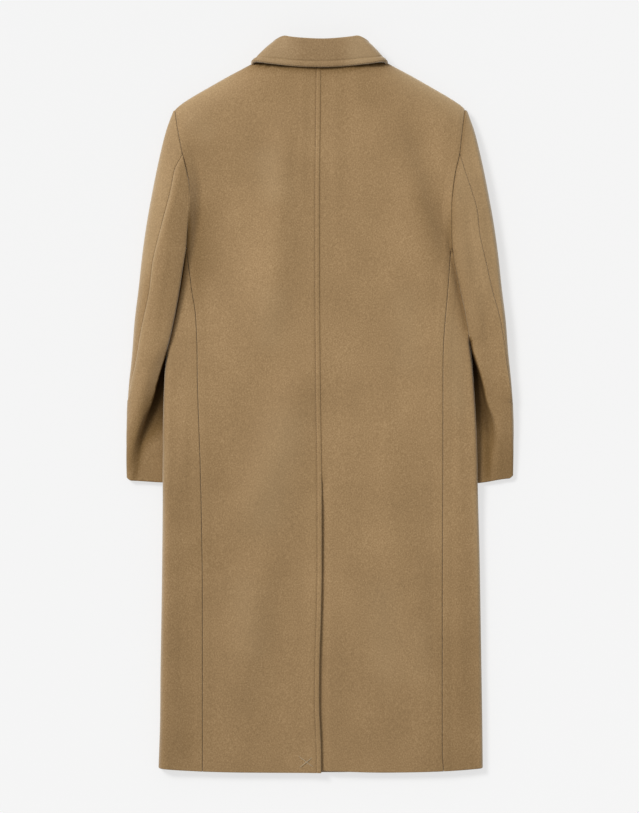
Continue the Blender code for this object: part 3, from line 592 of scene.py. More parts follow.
def back_panel(side):
    """Half of the back; returns its object and the line of the centre topstitching."""
    lap = SEAM_GAP if side == LEFT else -0.9  # the right half runs in under the seam

    def centre(y):
        return side * read(CENTRE_SEAM, "x", y) + lap

    def armhole(y):
        return back_armhole(side, y) - SEAM_GAP

    def height(w, y):
        z = body_height(side, w, y)
        if side == LEFT:
            return z
        near = ease(w - centre(VENT_TOP_Y), 15, 3)
        return z - (CLOTH + 0.9) * near * ease(y, VENT_TOP_Y + 26, VENT_TOP_Y + 2)

    def row(w, y):
        y = np.broadcast_to(y, w.shape)
        uneven = (2.4 if side == RIGHT else -0.2) * ease(w, 110, 0)
        drop = hem_drop(w, y) + uneven * ease(y, -520, -598)
        return np.stack((side * w, y + drop, height(w, y)), axis=1)

    rows = []
    for y in HEM_ROWS:
        start = float(centre(y))
        seam = float(read(SIDE_SEAM, side, y)) - SEAM_GAP
        points = between_seams(row(np.linspace(start, seam, DENSE), y), BACK_POINTS,
                               CENTRE_STATIONS)
        if side == RIGHT:
            reach = VENT_UNDERLAP * float(ease(y, VENT_TOP_Y, VENT_TOP_Y - 22))
            under = row(start - reach * np.linspace(1, 0, UNDERLAP_POINTS + 1)[:-1], y)
            extension = np.full((UNDERLAP_POINTS, 2), NO_SEAM)
            if reach > 0:
                points[:, 3] = NO_SEAM
            points = np.concatenate((np.hstack((under, extension)), points))
        rows.append(points)
    for v in YOKE_SHARES:
        plan = yoke_plan(centre, lambda w: back_neck(w) - SEAM_GAP, armhole,
                         np.linspace(0, 1, DENSE), v)
        points = between_seams(row(plan[:, 0], plan[:, 1]), BACK_POINTS, CENTRE_STATIONS)
        if side == RIGHT:
            points = np.concatenate((np.repeat(points[:1], UNDERLAP_POINTS, axis=0), points))
        rows.append(points)

    def relief(p, n, first, last, low, high):
        face = drift(p[:, 0], p[:, 1]) + creases(BACK_CREASES, p[:, 0], p[:, 1])
        side_seam = pressed_seam(last)
        below = ease(p[:, 1], VENT_TOP_Y, VENT_TOP_Y - 40)
        if side == LEFT:
            lapped = turned_in(first, 1.1, 2.2) + 0.9 * ease(first, 9.5, 5.5)
            groove = -1.1 * np.exp(-((first - CENTRE_TOPSTITCH) / 1.0) ** 2)
            pucker = 0.10 * np.sin(p[:, 1] / 4.1 + np.sin(p[:, 1] / 23.0) * 2)
            band = np.exp(-((first - 4.2) / 3.0) ** 2)
            opened = VENT_OPENS * below * ease(first, 34, 4)
            centre_seam = lapped + groove + pucker * band + opened
        else:
            centre_seam = turned_in(first, 1.0, 2.6)
        return (face + side_seam + centre_seam + turned_in(low, 1.1, 1.8)
                + turned_in(high))

    panel, face = sew("back_" + SIDE_NAME[side], [np.array(rows)], side == LEFT, relief,
                      hem=TURNED_UP, painted_shading=body_painted_shading(side))
    return panel, face[:, CENTRE_STATIONS.index(CENTRE_TOPSTITCH)]


back_left, centre_stitch_line = back_panel(LEFT)
back_right, _ = back_panel(RIGHT)

# ------------------------------------------------------------------ Side panels
# One panel each side in melton, from the side-back seam round the folded edge of the coat
# to the side-front seam underneath. It rides over the cuff that is tucked below it.
FRONT_SEAM_W = 190.0
SIDE_CREASES = columns("x0 y0 x1 y1 width height", (
    (-214, 60, -222, -120, 8, 0.8), (-236, 20, -240, -160, 7, -0.5),
    (-212, -160, -208, -380, 10, 0.6), (-228, -250, -226, -520, 9, -0.5),
    (222, 40, 226, -140, 8, 0.8), (210, -60, 214, -260, 8, -0.5),
    (230, -220, 228, -470, 9, 0.6), (214, -330, 212, -560, 8, -0.45)))


def front_armhole(side, y):
    return back_armhole(side, y) - read(ARMHOLE, "front", y) - 1.8


def front_seam(side, y):
    """Side-front seam, which runs out to the armhole under the arm."""
    out = float(ease(y, 120, UNDERARM_Y))
    return FRONT_SEAM_W + (float(front_armhole(side, UNDERARM_Y)) - FRONT_SEAM_W) * out


def lift(w, y):
    """What the underside rides over: the tucked cuff at the side, the collar at the neck."""
    cuff = ease(w, 194, 210) * ease(y, 120, 86) * ease(y, -184, -136)
    collar = ease(y, 370, 396) * ease(w, 158, 132)
    return 11.7 * cuff + 3.4 * collar


def under_height(side, w, y):
    """Underside of the body, and of the sleeve above the underarm."""
    above = y >= UNDERARM_Y
    base = lift(w, y)
    edge = edge_level(side, w, y)
    reach = read(BODY_LEVEL, "under_roll", y)
    rounded = roll(from_parting(side, w, y), reach)
    outer = roll(below_shoulder(w, y), reach) * roll(read(SLEEVE_OUTER, "w", y) - w, 16.0)
    return base + (edge - base) * (1 - rounded * np.where(above, outer, 1.0))


def side_panel(side):
    rows = []
    half = 200  # dense points from each seam to the folded edge
    toward_edge = np.linspace(1, 0, half) ** 2
    for y in HEM_ROWS:
        edge = float(body_edge(side, y))
        upper = edge - float(read(SIDE_SEAM, side, y)) - SEAM_GAP
        lower = edge - front_seam(side, y) - SEAM_GAP
        w = np.concatenate((edge - upper * toward_edge, edge - lower * toward_edge[-2::-1]))
        ys = np.full_like(w, y)
        z = np.concatenate((body_height(side, w[:half], ys[:half]),
                            under_height(side, w[half:], ys[half:])))
        row = np.stack((side * w, ys + hem_drop(w, ys), z), axis=1)
        rows.append(between_seams(row, 44))

    def relief(p, n, first, last, low, high):
        up = smoothstep(n[:, 2] * 2)
        face = (drift(p[:, 0], p[:, 1]) + creases(SIDE_CREASES, p[:, 0], p[:, 1])) * up
        return face + pressed_seam(first) * up + turned_in(last, 0.8) + turned_in(low, 1.1, 1.8)

    panel, _ = sew("side_" + SIDE_NAME[side], [np.array(rows)], side == LEFT, relief,
                   hem=TURNED_UP, painted_shading=body_painted_shading(side))


side_panel(LEFT)
side_panel(RIGHT)

# ------------------------------------------------------------------ Fronts
# Two fronts in melton that lie flat on the table under the coat. The left one laps 60 mm
# over the right, with the buttons between them; both end in a turned edge and a hem.
FRONT_OVERLAP = 30.0
FRONT_NECK_DROP = 81.0
FRONT_POINTS = 38
FRONT_HOLLOWS = columns("x0 y0 x1 y1 width height", (
    (-90, 300, -120, 80, 18, -1.1), (70, 200, 96, -60, 20, -1.0),
    (-60, -80, -84, -360, 22, -1.3), (110, -200, 130, -480, 20, -1.2),
    (-150, 120, -160, -120, 14, -0.8), (146, 340, 120, 230, 14, -0.9)))


def front_neck(w):
    return NECK_POINT_Y - FRONT_NECK_DROP * (
        1 - (np.minimum(np.abs(w), NECK_W) / NECK_W) ** 2.4)


def front_layer(w, y):
    """How far the under front stands off where it laps under the outer one."""
    off = 2.7 + 3.3 * ease(y, -260, -200)
    return off * ease(w, FRONT_OVERLAP + 22, FRONT_OVERLAP + 4)


def front_panel(side):
    def edge(_):
        return -FRONT_OVERLAP

    def armhole(y):
        return front_armhole(side, y) - 0.3

    def row(w, y):
        y = np.broadcast_to(y, w.shape)
        z = under_height(side, w, y)
        if side == RIGHT:
            z = z + front_layer(w, y)
        return np.stack((side * w, y + hem_drop(np.maximum(w, 0), y), z), axis=1)

    rows = []
    for y in HEM_ROWS:
        w = np.linspace(-FRONT_OVERLAP, front_seam(side, y) - SEAM_GAP, DENSE)
        rows.append(between_seams(row(w, y), FRONT_POINTS))
    for v in YOKE_SHARES:
        plan = yoke_plan(edge, lambda w: front_neck(w) - SEAM_GAP, armhole,
                         np.linspace(0, 1, DENSE), v)
        rows.append(between_seams(row(plan[:, 0], plan[:, 1]), FRONT_POINTS))

    def relief(p, n, first, last, low, high):
        hollows = creases(FRONT_HOLLOWS, p[:, 0], p[:, 1])
        flat = ease(first, 20, 40) * ease(last, 12, 32)
        return (hollows * flat + turned_in(first, 1.0, 2.0) + turned_in(last, 0.8)
                + turned_in(low, 1.4, 2.6) + turned_in(high, 0.8))

    panel, _ = sew("front_" + SIDE_NAME[side], [np.array(rows)], side == RIGHT, relief,
                   hem=TURNED_UP)


front_panel(LEFT)
front_panel(RIGHT)

# ------------------------------------------------------------------ Sleeves
# Two-piece sleeves in melton: a top sleeve over the outside of the arm and an under sleeve
# inside it, sewn at the hindarm and the forearm. The forearm is folded in on itself beside
# the body and its inner edge lies tucked under the coat's side.
SLEEVE_CREASE = columns("y left right", (
    (-127, 308.0, 280.0), (-90, 302.0, 280.5), (-58, 295.5, 283.0), (-25, 285.0, 279.6),
    (0, 275.2, 272.0), (8, 272.6, 270.0), (32, 266.6, 264.8), (56, 259.3, 257.8),
    (72, 254.4, 252.4), (88.6, 248.8, 247.4), (103, 244.6, 244.8), (147, 235.2, 238.0),
    (186, 227.9, 229.6), (228, 221.4, 220.8), (254, 217.6, 213.8)))
SLEEVE_TUCK = columns("y left right", (
    (-127, 228, 228), (-40, 230, 230), (0, 234, 232), (24, 238, 235), (45, 244, 239),
    (62, 249.5, 242), (77, 252.2, 243), (96, 252.2, 243)))
WEDGE_TOP = {LEFT: 77.0, RIGHT: 96.0}  # where the gap between sleeve and body closes
HINDARM = columns("y left right", (
    (-127, -16.0, -16.0), (-60, -12.0, -10.0), (-20, -6.0, -4.0), (12, 0.6, 1.6),
    (38, 3.6, 3.4), (64, 7.3, 5.0), (103, 10.6, 6.6), (150, 15.8, 11.4), (180, 18.2, 16.0),
    (228, 18.8, 22.0), (254, 21.2, 25.0), (280, 24.4, 26.5), (315, 28.2, 24.6),
    (350, 30.4, 27.8), (378, 30.2, 31.8), (405, 37.6, 34.0)))
FOREARM_TURN = 0.84
SLEEVE_EDGE_ROLL = 4.0  # how far the sleeve head takes to stand up from the armhole seam
SLEEVE_FACE_Z = 3.0  # what lies higher is the upper side of the sleeve
SLEEVE_FALL = {LEFT: 7.5, RIGHT: 2.5}  # of the upper side, from its middle to its inner edge
# How dark the painted shade is in the fold of the forearm, how far that reaches in on the
# left and over what width it begins on the right, and how much painted shade lies on the cuff.
FOREARM_SHADE = columns("y left reach right spread cuff", (
    (-127, 0.32, 10, 0.32, 14, 1), (-90, 0.42, 10, 0.50, 16, 1), (-58, 0.57, 22, 0.62, 34, 0.7),
    (-25, 0.76, 90, 0.78, 24, 0.3), (8, 0.90, 250, 0.75, 9, 0), (32, 0.94, 400, 0.83, 6, 0),
    (60, 0.97, 400, 0.94, 5, 0), (110, 0.97, 400, 0.97, 5, 0)))
HIND_PITCH_Y = 405.0
FRONT_PITCH_Y = 355.0
CUFF_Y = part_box("top_sleeve_left")[0][1] / MM
SLEEVE_CREASES = columns("x0 y0 x1 y1 width height", (
    (-262, 330, -276, 150, 10, -0.9), (-246, 300, -256, 190, 9, 0.8),
    (-282, 120, -296, -20, 9, 0.9), (-248, 220, -262, 96, 8, -0.7),
    (-262, 92, -288, 20, 8, 0.8), (-300, -30, -306, -100, 6, -0.8),
    (256, 340, 272, 170, 10, 0.9), (240, 300, 252, 180, 8, -0.8),
    (266, 140, 284, 0, 10, -0.8), (250, 200, 262, 110, 8, 0.7),
    (292, 60, 300, -60, 7, 0.7), (288, -92, 306, -112, 6, 1.0), (284, -76, 300, -90, 6, -0.5)))


def sleeve_inner(side, y):
    """Inner edge of the sleeve, lapped over the body's edge or tucked under it."""
    crease = read(SLEEVE_CREASE, side, y)
    lapped = body_edge(side, y) - 1.7 * ease(y, UNDERARM_Y, UNDERARM_Y - 26)
    tuck = read(SLEEVE_TUCK, side, y)
    return np.minimum(np.where(y < WEDGE_TOP[side], tuck, crease), lapped)


def sleeve_edge(side, w, y, inner):
    """Height of the sleeve's folded edges, the inner one raised where it lies on the body."""
    lapped = 4.5 * ease(y, 84, 114) * ease(y, 258, 242)
    raised = pushed_up(side, y) + (lapped if side == LEFT else 0.0)
    return read(SLEEVE_LEVEL, "edge", y) + raised * (1 - ease(w - inner, 0, 34))


def sleeve_top(side, w, y):
    """Upper side of the sleeve below the underarm."""
    inner = sleeve_inner(side, y)
    crease = read(SLEEVE_CREASE, side, y)
    width = read(SLEEVE_LEVEL, "crease_width", y)
    fold = crease + (inner - crease) * ease(y, WEDGE_TOP[side], WEDGE_TOP[side] + 16)
    start = fold - width * (0.5 + 0.5 * ease(y, -30, 20))
    across = np.clip((w - fold) / 36, 0, 1)
    bend = 3 - ease(y, 100, 180)
    edge = sleeve_edge(side, w, y, inner)
    rise = read(SLEEVE_LEVEL, "edge", y) - edge + read(SLEEVE_LEVEL, "low", y)
    fall = SLEEVE_FALL[side] * (1 - across) ** bend * ease(y, -60, 0)
    ridge = read(SLEEVE_LEVEL, "ridge", y) - fall
    rise = rise + ridge * smoothstep((w - start) / width)
    inside = roll(w - inner, read(SLEEVE_LEVEL, "inner_roll", y))
    outside = outer_edge(side, w, y, read(SLEEVE_LEVEL, "outer_roll", y))
    return edge + rise * inside * outside


def sleeve_under(side, w, y):
    """Underside of the sleeve below the underarm."""
    inner = sleeve_inner(side, y)
    inside = roll(w - inner, 9.0)
    outside = roll(read(SLEEVE_OUTER, "w", y) - w, 9 + 7 * ease(y, -60, 100))
    return sleeve_edge(side, w, y, inner) * (1 - inside * outside)


def sleeve_head(side, w, y):
    """Upper side of the sleeve above the underarm, which stands up from the armhole seam."""
    armhole = back_armhole(side, y)
    fall = SLEEVE_FALL[side] * (1 - np.clip((w - armhole) / 38, 0, 1)) ** 2
    level = sleeve_level(side, w, y) - fall
    outer = roll(below_shoulder(w, y), SHOULDER_ROLL) * outer_edge(side, w, y)
    full = edge_level(side, w, y) + level * roll(from_parting(side, w, y), 1.8) * outer
    seam = body_height(side, armhole, y)
    high = seam + (full - seam) * roll(w - armhole, SLEEVE_EDGE_ROLL)
    share = ease(y, 400, 322)
    return share * high + (1 - share) * top_height(side, w, y)


def cuff_slope(side, w, y):
    """The cuff runs slightly up towards its outer corner, which is rounded."""
    rise = (3.0 if side == LEFT else 7.6) * ease(w, 250, 314)
    rise = rise - (0.0 if side == LEFT else 1.2)
    corner = 4.0 * ease(w, 308, 315)
    return (rise + corner) * ease(y, -60, -127)


def sleeve_span(side, y, on_top):
    """Inner and outer w of the sleeve at y, on its upper side or underneath."""
    outer = float(read(SLEEVE_OUTER, "w", y))
    if y <= UNDERARM_Y:
        return float(sleeve_inner(side, y)) + 0.3, outer
    armhole = back_armhole(side, y) if on_top else front_armhole(side, y)
    return float(armhole) + SEAM_GAP, outer


def sleeve_row(side, y, first, last):
    """Dense points round the sleeve at y, turns 0 at its inner and 0.5 at its outer edge."""
    turns = np.linspace(first, last, 260)
    on_top = turns <= 0.5
    top_in, outer = sleeve_span(side, y, True)
    under_in, _ = sleeve_span(side, y, False)
    inner = np.where(on_top, top_in, under_in)
    w = inner + (outer - inner) * (1 - np.cos(2 * np.pi * turns)) / 2
    ys = np.full_like(w, y)
    above = y > UNDERARM_Y
    top = sleeve_head(side, w, ys) if above else sleeve_top(side, w, ys)
    under = under_height(side, w, ys) if above else sleeve_under(side, w, ys)
    ys = np.minimum(ys, np.interp(w, SHOULDER["w"], SHOULDER["y"]) - 0.6)
    return np.stack((side * w, ys + cuff_slope(side, w, ys), np.where(on_top, top, under)),
                    axis=1)


def hindarm_turn(side, y):
    """Where the hindarm seam lies round the sleeve, meeting the armhole at the hind pitch."""
    if y >= HIND_PITCH_Y:
        return 0.0
    distance = float(read(HINDARM, side, y))
    inner, outer = sleeve_span(side, y, distance > 0)
    share = min(max((outer - abs(distance) - inner) / (outer - inner), 0.0), 1.0)
    turn = math.acos(1 - 2 * share) / (2 * math.pi)
    return turn if distance > 0 else 1 - turn


def forearm_turn(y):
    """The forearm seam, which runs out to the armhole's front edge at the front pitch."""
    out = min(max((y - 290) / (FRONT_PITCH_Y - 290), 0.0), 1.0)
    return FOREARM_TURN + (1 - FOREARM_TURN) * out


TUBE_ROWS = spaced(CUFF_Y, UNDERARM_Y, 5.0)
HEAD_ROWS = np.unique(np.concatenate((
    spaced(UNDERARM_Y, SHOULDER_Y - 0.4, 5.0, (0.0, 1.0, 2.4, 4.6, 7.5))[1:],
    FRONT_PITCH_Y - np.array((4.0, 2.0, 0.7)), HIND_PITCH_Y - np.array((4.0, 2.0, 0.7)))))


def sleeve_face(p, n):
    up = smoothstep(n[:, 2] * 2)
    return (drift(p[:, 0] * 1.7, p[:, 1] * 1.3) * 0.8
            + creases(SLEEVE_CREASES, p[:, 0], p[:, 1])) * up


def sleeve_painted_shading(side):
    """Painted shade and painted highlight of the sleeve, as melton() takes them.

    The painted shade is darkest just inside the forearm fold and a little dark at the cuff and
    along the inner edge, where shade falls; painted highlight runs along the outer edge and
    the hindarm seam.
    """
    def painted_shading(p):
        w, y = side * p[:, 0], p[:, 1]
        crease = read(SLEEVE_CREASE, side, y)
        deepest = read(FOREARM_SHADE, side, y)
        inner = np.where(y < UNDERARM_Y, sleeve_inner(side, y), back_armhole(side, y))
        outside = read(SLEEVE_OUTER, "w", y) - w
        seam = outside - read(HINDARM, side, y)
        # Painted shade in the forearm fold and along the inner edge, and painted highlight along
        # the outer edge and the hindarm seam.
        if side == LEFT:
            wall = read(SLEEVE_LEVEL, "crease_width", y) * (1 - 0.6 * ease(y, -30, 20))
            inwards = crease + 0.45 * wall - w
            further = fade(inwards - 0.75 * wall, read(FOREARM_SHADE, "reach", y))
            fold = deepest * further * smoothstep(inwards / (0.8 * wall))
            before = 0.32 * (1 - ease(w - crease, 0, 27)) * ease(y, 50, 0) * ease(y, -135, -85)
            fold = np.maximum(fold, before * further + 0.04 * ease(y, 30, -10))
            edge = 0.05 * ease(w - inner, 60, 20) * ease(y, 100, 160)
            pale = 0.08 * ease(y, 180, 240) * (1 - smoothstep(seam / 8))
            pale = pale + 0.13 * np.exp(-outside / 6) * ease(y, -40, 40)
            pale = pale - 0.08 * np.exp(-np.abs(seam + 3) / 3) * ease(y, 230, 190)
            ridge = np.where(seam > 0, fade(seam - 1.2, 3.0), 0.0)
            pale = pale + 0.14 * ridge * ease(y, 10, 30) * ease(y, 400, 360)
        else:
            spread = read(FOREARM_SHADE, "spread", y)
            lit = 0.55 * ease(y, 40, -90) * ease(crease - w, 6, 22)
            by_body = ease(w - body_edge(side, y), 13, 0)
            lit = np.maximum(lit, 0.9 * ease(y, -10, -50) * by_body)
            before = 0.14 * (1 - ease(w - crease, 0, 14)) * ease(y, 70, 50)
            fold = deepest * smoothstep((crease + 0.5 * spread - w) / spread)
            fold = np.maximum(fold, before) * (1 - lit)
            edge = 0.26 * fade(w - inner, 2.2) * ease(y, 84, 104)
            edge = edge + 0.11 * ease(y, 70, 10) * (1 - lit)
            edge = edge + 0.08 * fade(w - inner, 20) * ease(y, 150, 200) * ease(y, 345, 305)
            pale = 0.07 * ease(y, 110, 230) + 0.34 * np.exp(-outside / 4.0)
        # Painted shade at the cuff.
        cuff = (0.14 if side == LEFT else 0.2) * read(FOREARM_SHADE, "cuff", y)
        fold = fold * ease(y, WEDGE_TOP[side] + 17, WEDGE_TOP[side] + 5)
        dark = np.maximum(np.maximum(fold, cuff), edge)
        pale = pale * (1 - smoothstep(dark / 0.3))
        return np.where(p[:, 2] > SLEEVE_FACE_Z, dark - pale, 0.0)
    return painted_shading


def top_sleeve(side):
    rows = []
    for y in np.concatenate((TUBE_ROWS, HEAD_ROWS)):
        row = sleeve_row(side, y, hindarm_turn(side, y), forearm_turn(y))
        rows.append(between_seams(row, 34))

    def relief(p, n, first, last, low, high):
        return (sleeve_face(p, n) + 0.85 * pressed_seam(first) + turned_in(last, 0.8)
                + turned_in(low, 1.1, 1.8) + turned_in(high, 0.6, 1.5))

    piece, _ = sew("top_sleeve_" + SIDE_NAME[side], [np.array(rows)], side == LEFT, relief,
                   hem=TURNED_UP, painted_shading=sleeve_painted_shading(side))


def under_sleeve(side):
    """One tube of cloth below the underarm and two tongues along the armhole above it."""
    tube, back_tongue, front_tongue = [], [], []

    def upper_row(y):
        return between_seams(sleeve_row(side, y, hindarm_turn(side, y), 0.0), 30)

    def lower_row(y):
        return between_seams(sleeve_row(side, y, 1.0, forearm_turn(y)), 14)

    for y in TUBE_ROWS:
        upper, lower = upper_row(y), lower_row(y)
        upper[:, 4] = NO_SEAM
        lower[:, 3] = NO_SEAM
        lower[0, :3] = upper[-1, :3]
        tube.append(np.concatenate((upper, lower[1:])))
    back_tongue.append(tube[-1][:len(upper)])
    front_tongue.append(tube[-1][len(upper) - 1:])
    for y in HEAD_ROWS:
        if y < HIND_PITCH_Y:
            back_tongue.append(upper_row(y))
        if y < FRONT_PITCH_Y:
            front_tongue.append(lower_row(y))
    for tongue, pitch_y, turn in ((back_tongue, HIND_PITCH_Y, 0.0),
                                  (front_tongue, FRONT_PITCH_Y, 1.0)):
        tip = sleeve_row(side, pitch_y - 0.4, turn, turn)[:1]
        tip = np.hstack((tip, ((0.0, 0.0),)))
        tongue.append(np.repeat(tip, len(tongue[-1]), axis=0))

    def relief(p, n, first, last, low, high):
        cuff = np.where(p[:, 1] < CUFF_Y + 60, low, NO_SEAM)
        up = smoothstep(n[:, 2] * 2)
        if side == LEFT:
            stands = 2.5 * (1 - np.exp(-first / 4.0)) * np.exp(-first / 60) * up
        else:
            stands = 1.1 * np.exp(-np.maximum(first - 1.6, 0) / 7.0) * up
        return (sleeve_face(p, n) + pressed_seam(first) + stands
                + turned_in(last, 0.9) * up + turned_in(cuff, 1.1, 1.8))

    grids = [np.array(tube), np.array(back_tongue), np.array(front_tongue)]
    piece, _ = sew("under_sleeve_" + SIDE_NAME[side], grids, side == RIGHT, relief,
                   painted_shading=sleeve_painted_shading(side))


for arm in (LEFT, RIGHT):
    top_sleeve(arm)
    under_sleeve(arm)

# ------------------------------------------------------------------ Collar
# A shirt-type collar in melton: a stand sewn to the neck and a fall folded down over it.
# The fall is cloth on both faces, bagged out. A groove runs 10 mm in from its edge, and its row
# of stitches runs near the edge.
COLLAR = columns("front share roll_w roll_y roll_z edge_w edge_y edge_z", (
    (0, 0.00, 0, 588.6, 38.5, 0, 546.0, 41.0), (0, 0.30, 20, 589.2, 38.3, 27, 546.6, 41.0),
    (0, 0.55, 38, 590.8, 37.8, 50, 548.3, 40.8), (0, 0.75, 51, 592.6, 36.4, 70, 550.6, 40.6),
    (0, 0.90, 60, 594.2, 33.6, 88, 553.0, 39.8), (0, 0.96, 67, 592.0, 31.8, 98, 554.9, 38.4),
    (0, 1.00, 73.5, 587.4, 28.5, 107.6, 556.2, 33.0),
    (1, 0.985, 75.0, 583.0, 18.0, 111.4, 550.5, 12.0),
    (1, 0.97, 73.5, 580.0, 10.8, 111.6, 545.0, 4.4),
    (1, 0.95, 71.5, 577.0, 7.8, 110.6, 538.5, 2.4), (1, 0.90, 67, 571.5, 4.6, 108, 524.0, 1.6),
    (1, 0.75, 56, 552.0, 3.8, 98, 499.0, 1.6), (1, 0.55, 42, 531.5, 3.6, 80, 473.0, 1.6),
    (1, 0.30, 23, 517.5, 3.6, 59, 453.0, 1.6), (1, 0.04, 3, 513.0, 3.6, 38, 438.0, 1.6)))
COLLAR_TURN = 1.3  # the fall lies turned a little to the wearer's right
COLLAR_TOPSTITCH = 10.0  # the groove, from the edge of the fall
EDGE_STITCH = -4  # the column of the fall's grid that the thread follows, near the edge
COLLAR_CLOTH = 3.2  # both faces together
COLLAR_FOLD_RADIUS = 3.0
COLLAR_ROWS = 150  # from one front end to the other
COLLAR_STATIONS = (0.0, 0.5, 1.1, 1.9, 3.0, 4.6, 6.4, 8.2, 9.2, 10.0, 10.8, 11.8, 13.6)


def neck_edge(side, stop):
    """Face of the neck seam at a stop, and how far the layers below push it out."""
    w = COLLAR["share"][stop] * NECK_W
    if not COLLAR["front"][stop]:
        y = back_neck(w) + SEAM_GAP
        return (side * w, y, float(top_height(side, w, y - 0.4))), 0.0
    y = float(front_neck(w)) + SEAM_GAP
    layer = float(front_layer(w, y)) if side == RIGHT else 0.0
    return (side * w, y, float(under_height(side, w, y - 0.4)) + layer), layer


def collar_stops():
    """Neck, top of the stand, edge of the fall and layer, from the left front to the right."""
    stops = []
    for side, order in ((LEFT, range(len(COLLAR["share"]) - 1, 0, -1)),
                        (RIGHT, range(len(COLLAR["share"])))):
        for stop in order:
            neck, layer = neck_edge(side, stop)
            top = [COLLAR["roll_" + axis][stop] for axis in "wyz"]
            edge = [COLLAR["edge_" + axis][stop] for axis in "wyz"]
            stops.append((*neck, side * top[0] + COLLAR_TURN, top[1], top[2] + layer,
                          side * edge[0] - COLLAR_TURN, edge[1], edge[2], layer))
    return np.array(stops)


def collar_lines(count):
    """The stops made smooth: neck, top, edge, layer, and the ways around, up and out."""
    stops = collar_stops()
    gaps = (np.linalg.norm(np.diff(stops[:, 3:6], axis=0), axis=1)
            + np.linalg.norm(np.diff(stops[:, 6:9], axis=0), axis=1))
    run = np.concatenate(([0.0], np.cumsum(gaps)))
    at = spaced(0.0, run[-1], run[-1] / count)
    fine = np.stack([smooth_curve(run, stops[:, k], at) for k in range(10)], axis=1)
    neck, top, edge, layer = fine[:, :3], fine[:, 3:6], fine[:, 6:9], fine[:, 9:]
    around = np.gradient(neck, axis=0)
    up = (top - neck) / np.linalg.norm(top - neck, axis=1)[:, None]
    out = np.cross(around, up)
    return neck, top, edge, layer, around, up, out / np.linalg.norm(out, axis=1)[:, None]


def collar_pieces():
    neck, top, edge, layer, around, up, out = collar_lines(COLLAR_ROWS)
    stand = []
    for i in range(len(neck)):
        row = neck[i] + (top[i] - neck[i]) * np.linspace(0, 1, 60)[:, None]
        stand.append(between_seams(row, 8))

    def stand_relief(p, n, first, last, low, high):
        return turned_in(first, 0.8) + turned_in(low) + turned_in(high)

    band, _ = sew("collar_stand", [np.array(stand)], True, stand_relief)

    radius = COLLAR_FOLD_RADIUS + layer / 2
    centre = top + up * 0.8 + out * (radius - 2.6)
    angles = np.radians(np.linspace(-90, 90, 40))
    fall = []
    for i in range(len(neck)):
        bend = (centre[i] + radius[i] * (np.cos(angles)[:, None] * up[i]
                                         + np.sin(angles)[:, None] * out[i]))
        share = np.linspace(0, 1, 160)[1:, None]
        down = bend[-1] + (edge[i] - bend[-1]) * share
        bulge = np.sin(np.pi * share ** 0.8) * 1.6
        row = np.concatenate((bend, down + out[i] * bulge))
        fall.append(between_seams(row, 18, COLLAR_STATIONS))

    def fall_relief(p, n, first, last, low, high):
        inner_end = np.minimum(low, high)
        rim = np.minimum(last, inner_end)
        groove = -1.0 * np.exp(-((last - COLLAR_TOPSTITCH) / 1.1) ** 2)
        padding = 1.2 * ease(last, COLLAR_TOPSTITCH + 0.5, COLLAR_TOPSTITCH - 4.0)
        ripple = 0.12 * np.sin(p[:, 0] / 3.7 + 1.5 * np.sin(p[:, 0] / 19.0))
        above = np.where(n[:, 2] > -0.2, 1.0, 0.25)
        return (0.5 + drift(p[:, 0] * 2, p[:, 1] * 2) * 0.8 + groove + padding
                + ripple * np.exp(-((last - 7) / 4) ** 2)) * above + turned_in(rim, 1.7, 2.6)

    def fall_painted_shading(p):
        """Painted shade a little behind the neck and painted highlight towards both ends."""
        turned = np.where(p[:, 0] < 0, 0.10, 0.17) * ease(np.abs(p[:, 0]), 22, 62)
        return np.where(p[:, 2] > 15.0, 0.03 - turned, 0.0)

    # A darker copy of the body's melton: painted shade, so that the collar shows darker under
    # the same light.
    collar_melton_shaded = melton("camel_wool_melton_collar_shaded", "8f724b", "7a5f3c", "a58861")
    leaf, face = sew("collar_fall", [np.array(fall)], False, fall_relief,
                     cloth=collar_melton_shaded, thickness=COLLAR_CLOTH, painted_shading=fall_painted_shading)
    return face[:, EDGE_STITCH]


collar_stitch_line = collar_pieces()

# ------------------------------------------------------------------ Stitching
# Core-spun polyester thread in the cloth's own colour: one row beside the centre back seam
# and one along the collar's edge, about 3.6 mm to the stitch and sunk in the nap.
STITCH, STITCH_GAP, STITCH_HUMP = 2.7, 0.9, 0.25
THREAD_RADIUS = 0.36
STRAND_SIDES = 6


def thread(name, colour):
    """Twisted sewing thread: a slight gloss on a round, tightly spun strand."""
    strand, tree, shader, place = material(name, {
        "Base Color": linear(colour), "Roughness": 0.55, "Sheen Weight": 0.15})
    twist = add(tree, "ShaderNodeTexNoise", {"Scale": 1000 / 0.5, "Detail": 1.0},
                {"Vector": place})
    bump = add(tree, "ShaderNodeBump", {"Strength": 0.4, "Distance": 0.0001},
               {"Height": twist})
    link(tree, shader, {"Normal": bump})
    return strand


def strands(name, paths, radius, finish):
    """Join short round strands, each tapering into the cloth at its ends, into one mesh."""
    points, faces = [], []
    for path in paths:
        path = np.asarray(path)
        along = np.gradient(path, axis=0)
        along = along / np.linalg.norm(along, axis=1)[:, None]
        across = np.cross(along, (0.0, 0.0, 1.0))
        across = across / np.linalg.norm(across, axis=1)[:, None]
        over = np.cross(across, along)
        share = np.linspace(0, 1, len(path))
        size = radius * np.clip(np.sin(np.pi * share) * 2.2, 0.12, 1.0)
        start = len(points)
        for i in range(len(path)):
            for k in range(STRAND_SIDES):
                turn = 2 * math.pi * k / STRAND_SIDES
                way = math.cos(turn) * across[i] + math.sin(turn) * over[i]
                points.append(path[i] + size[i] * way)
        rings = np.arange(start, len(points)).reshape(-1, STRAND_SIDES)
        turned = np.roll(rings, -1, axis=1)
        quads = np.stack((rings[:-1], turned[:-1], turned[1:], rings[1:]), axis=2)
        faces += quads.reshape(-1, 4).tolist()
        faces += [rings[0, ::-1].tolist(), rings[-1].tolist()]
    return make_piece(name, np.array(points), faces, finish)


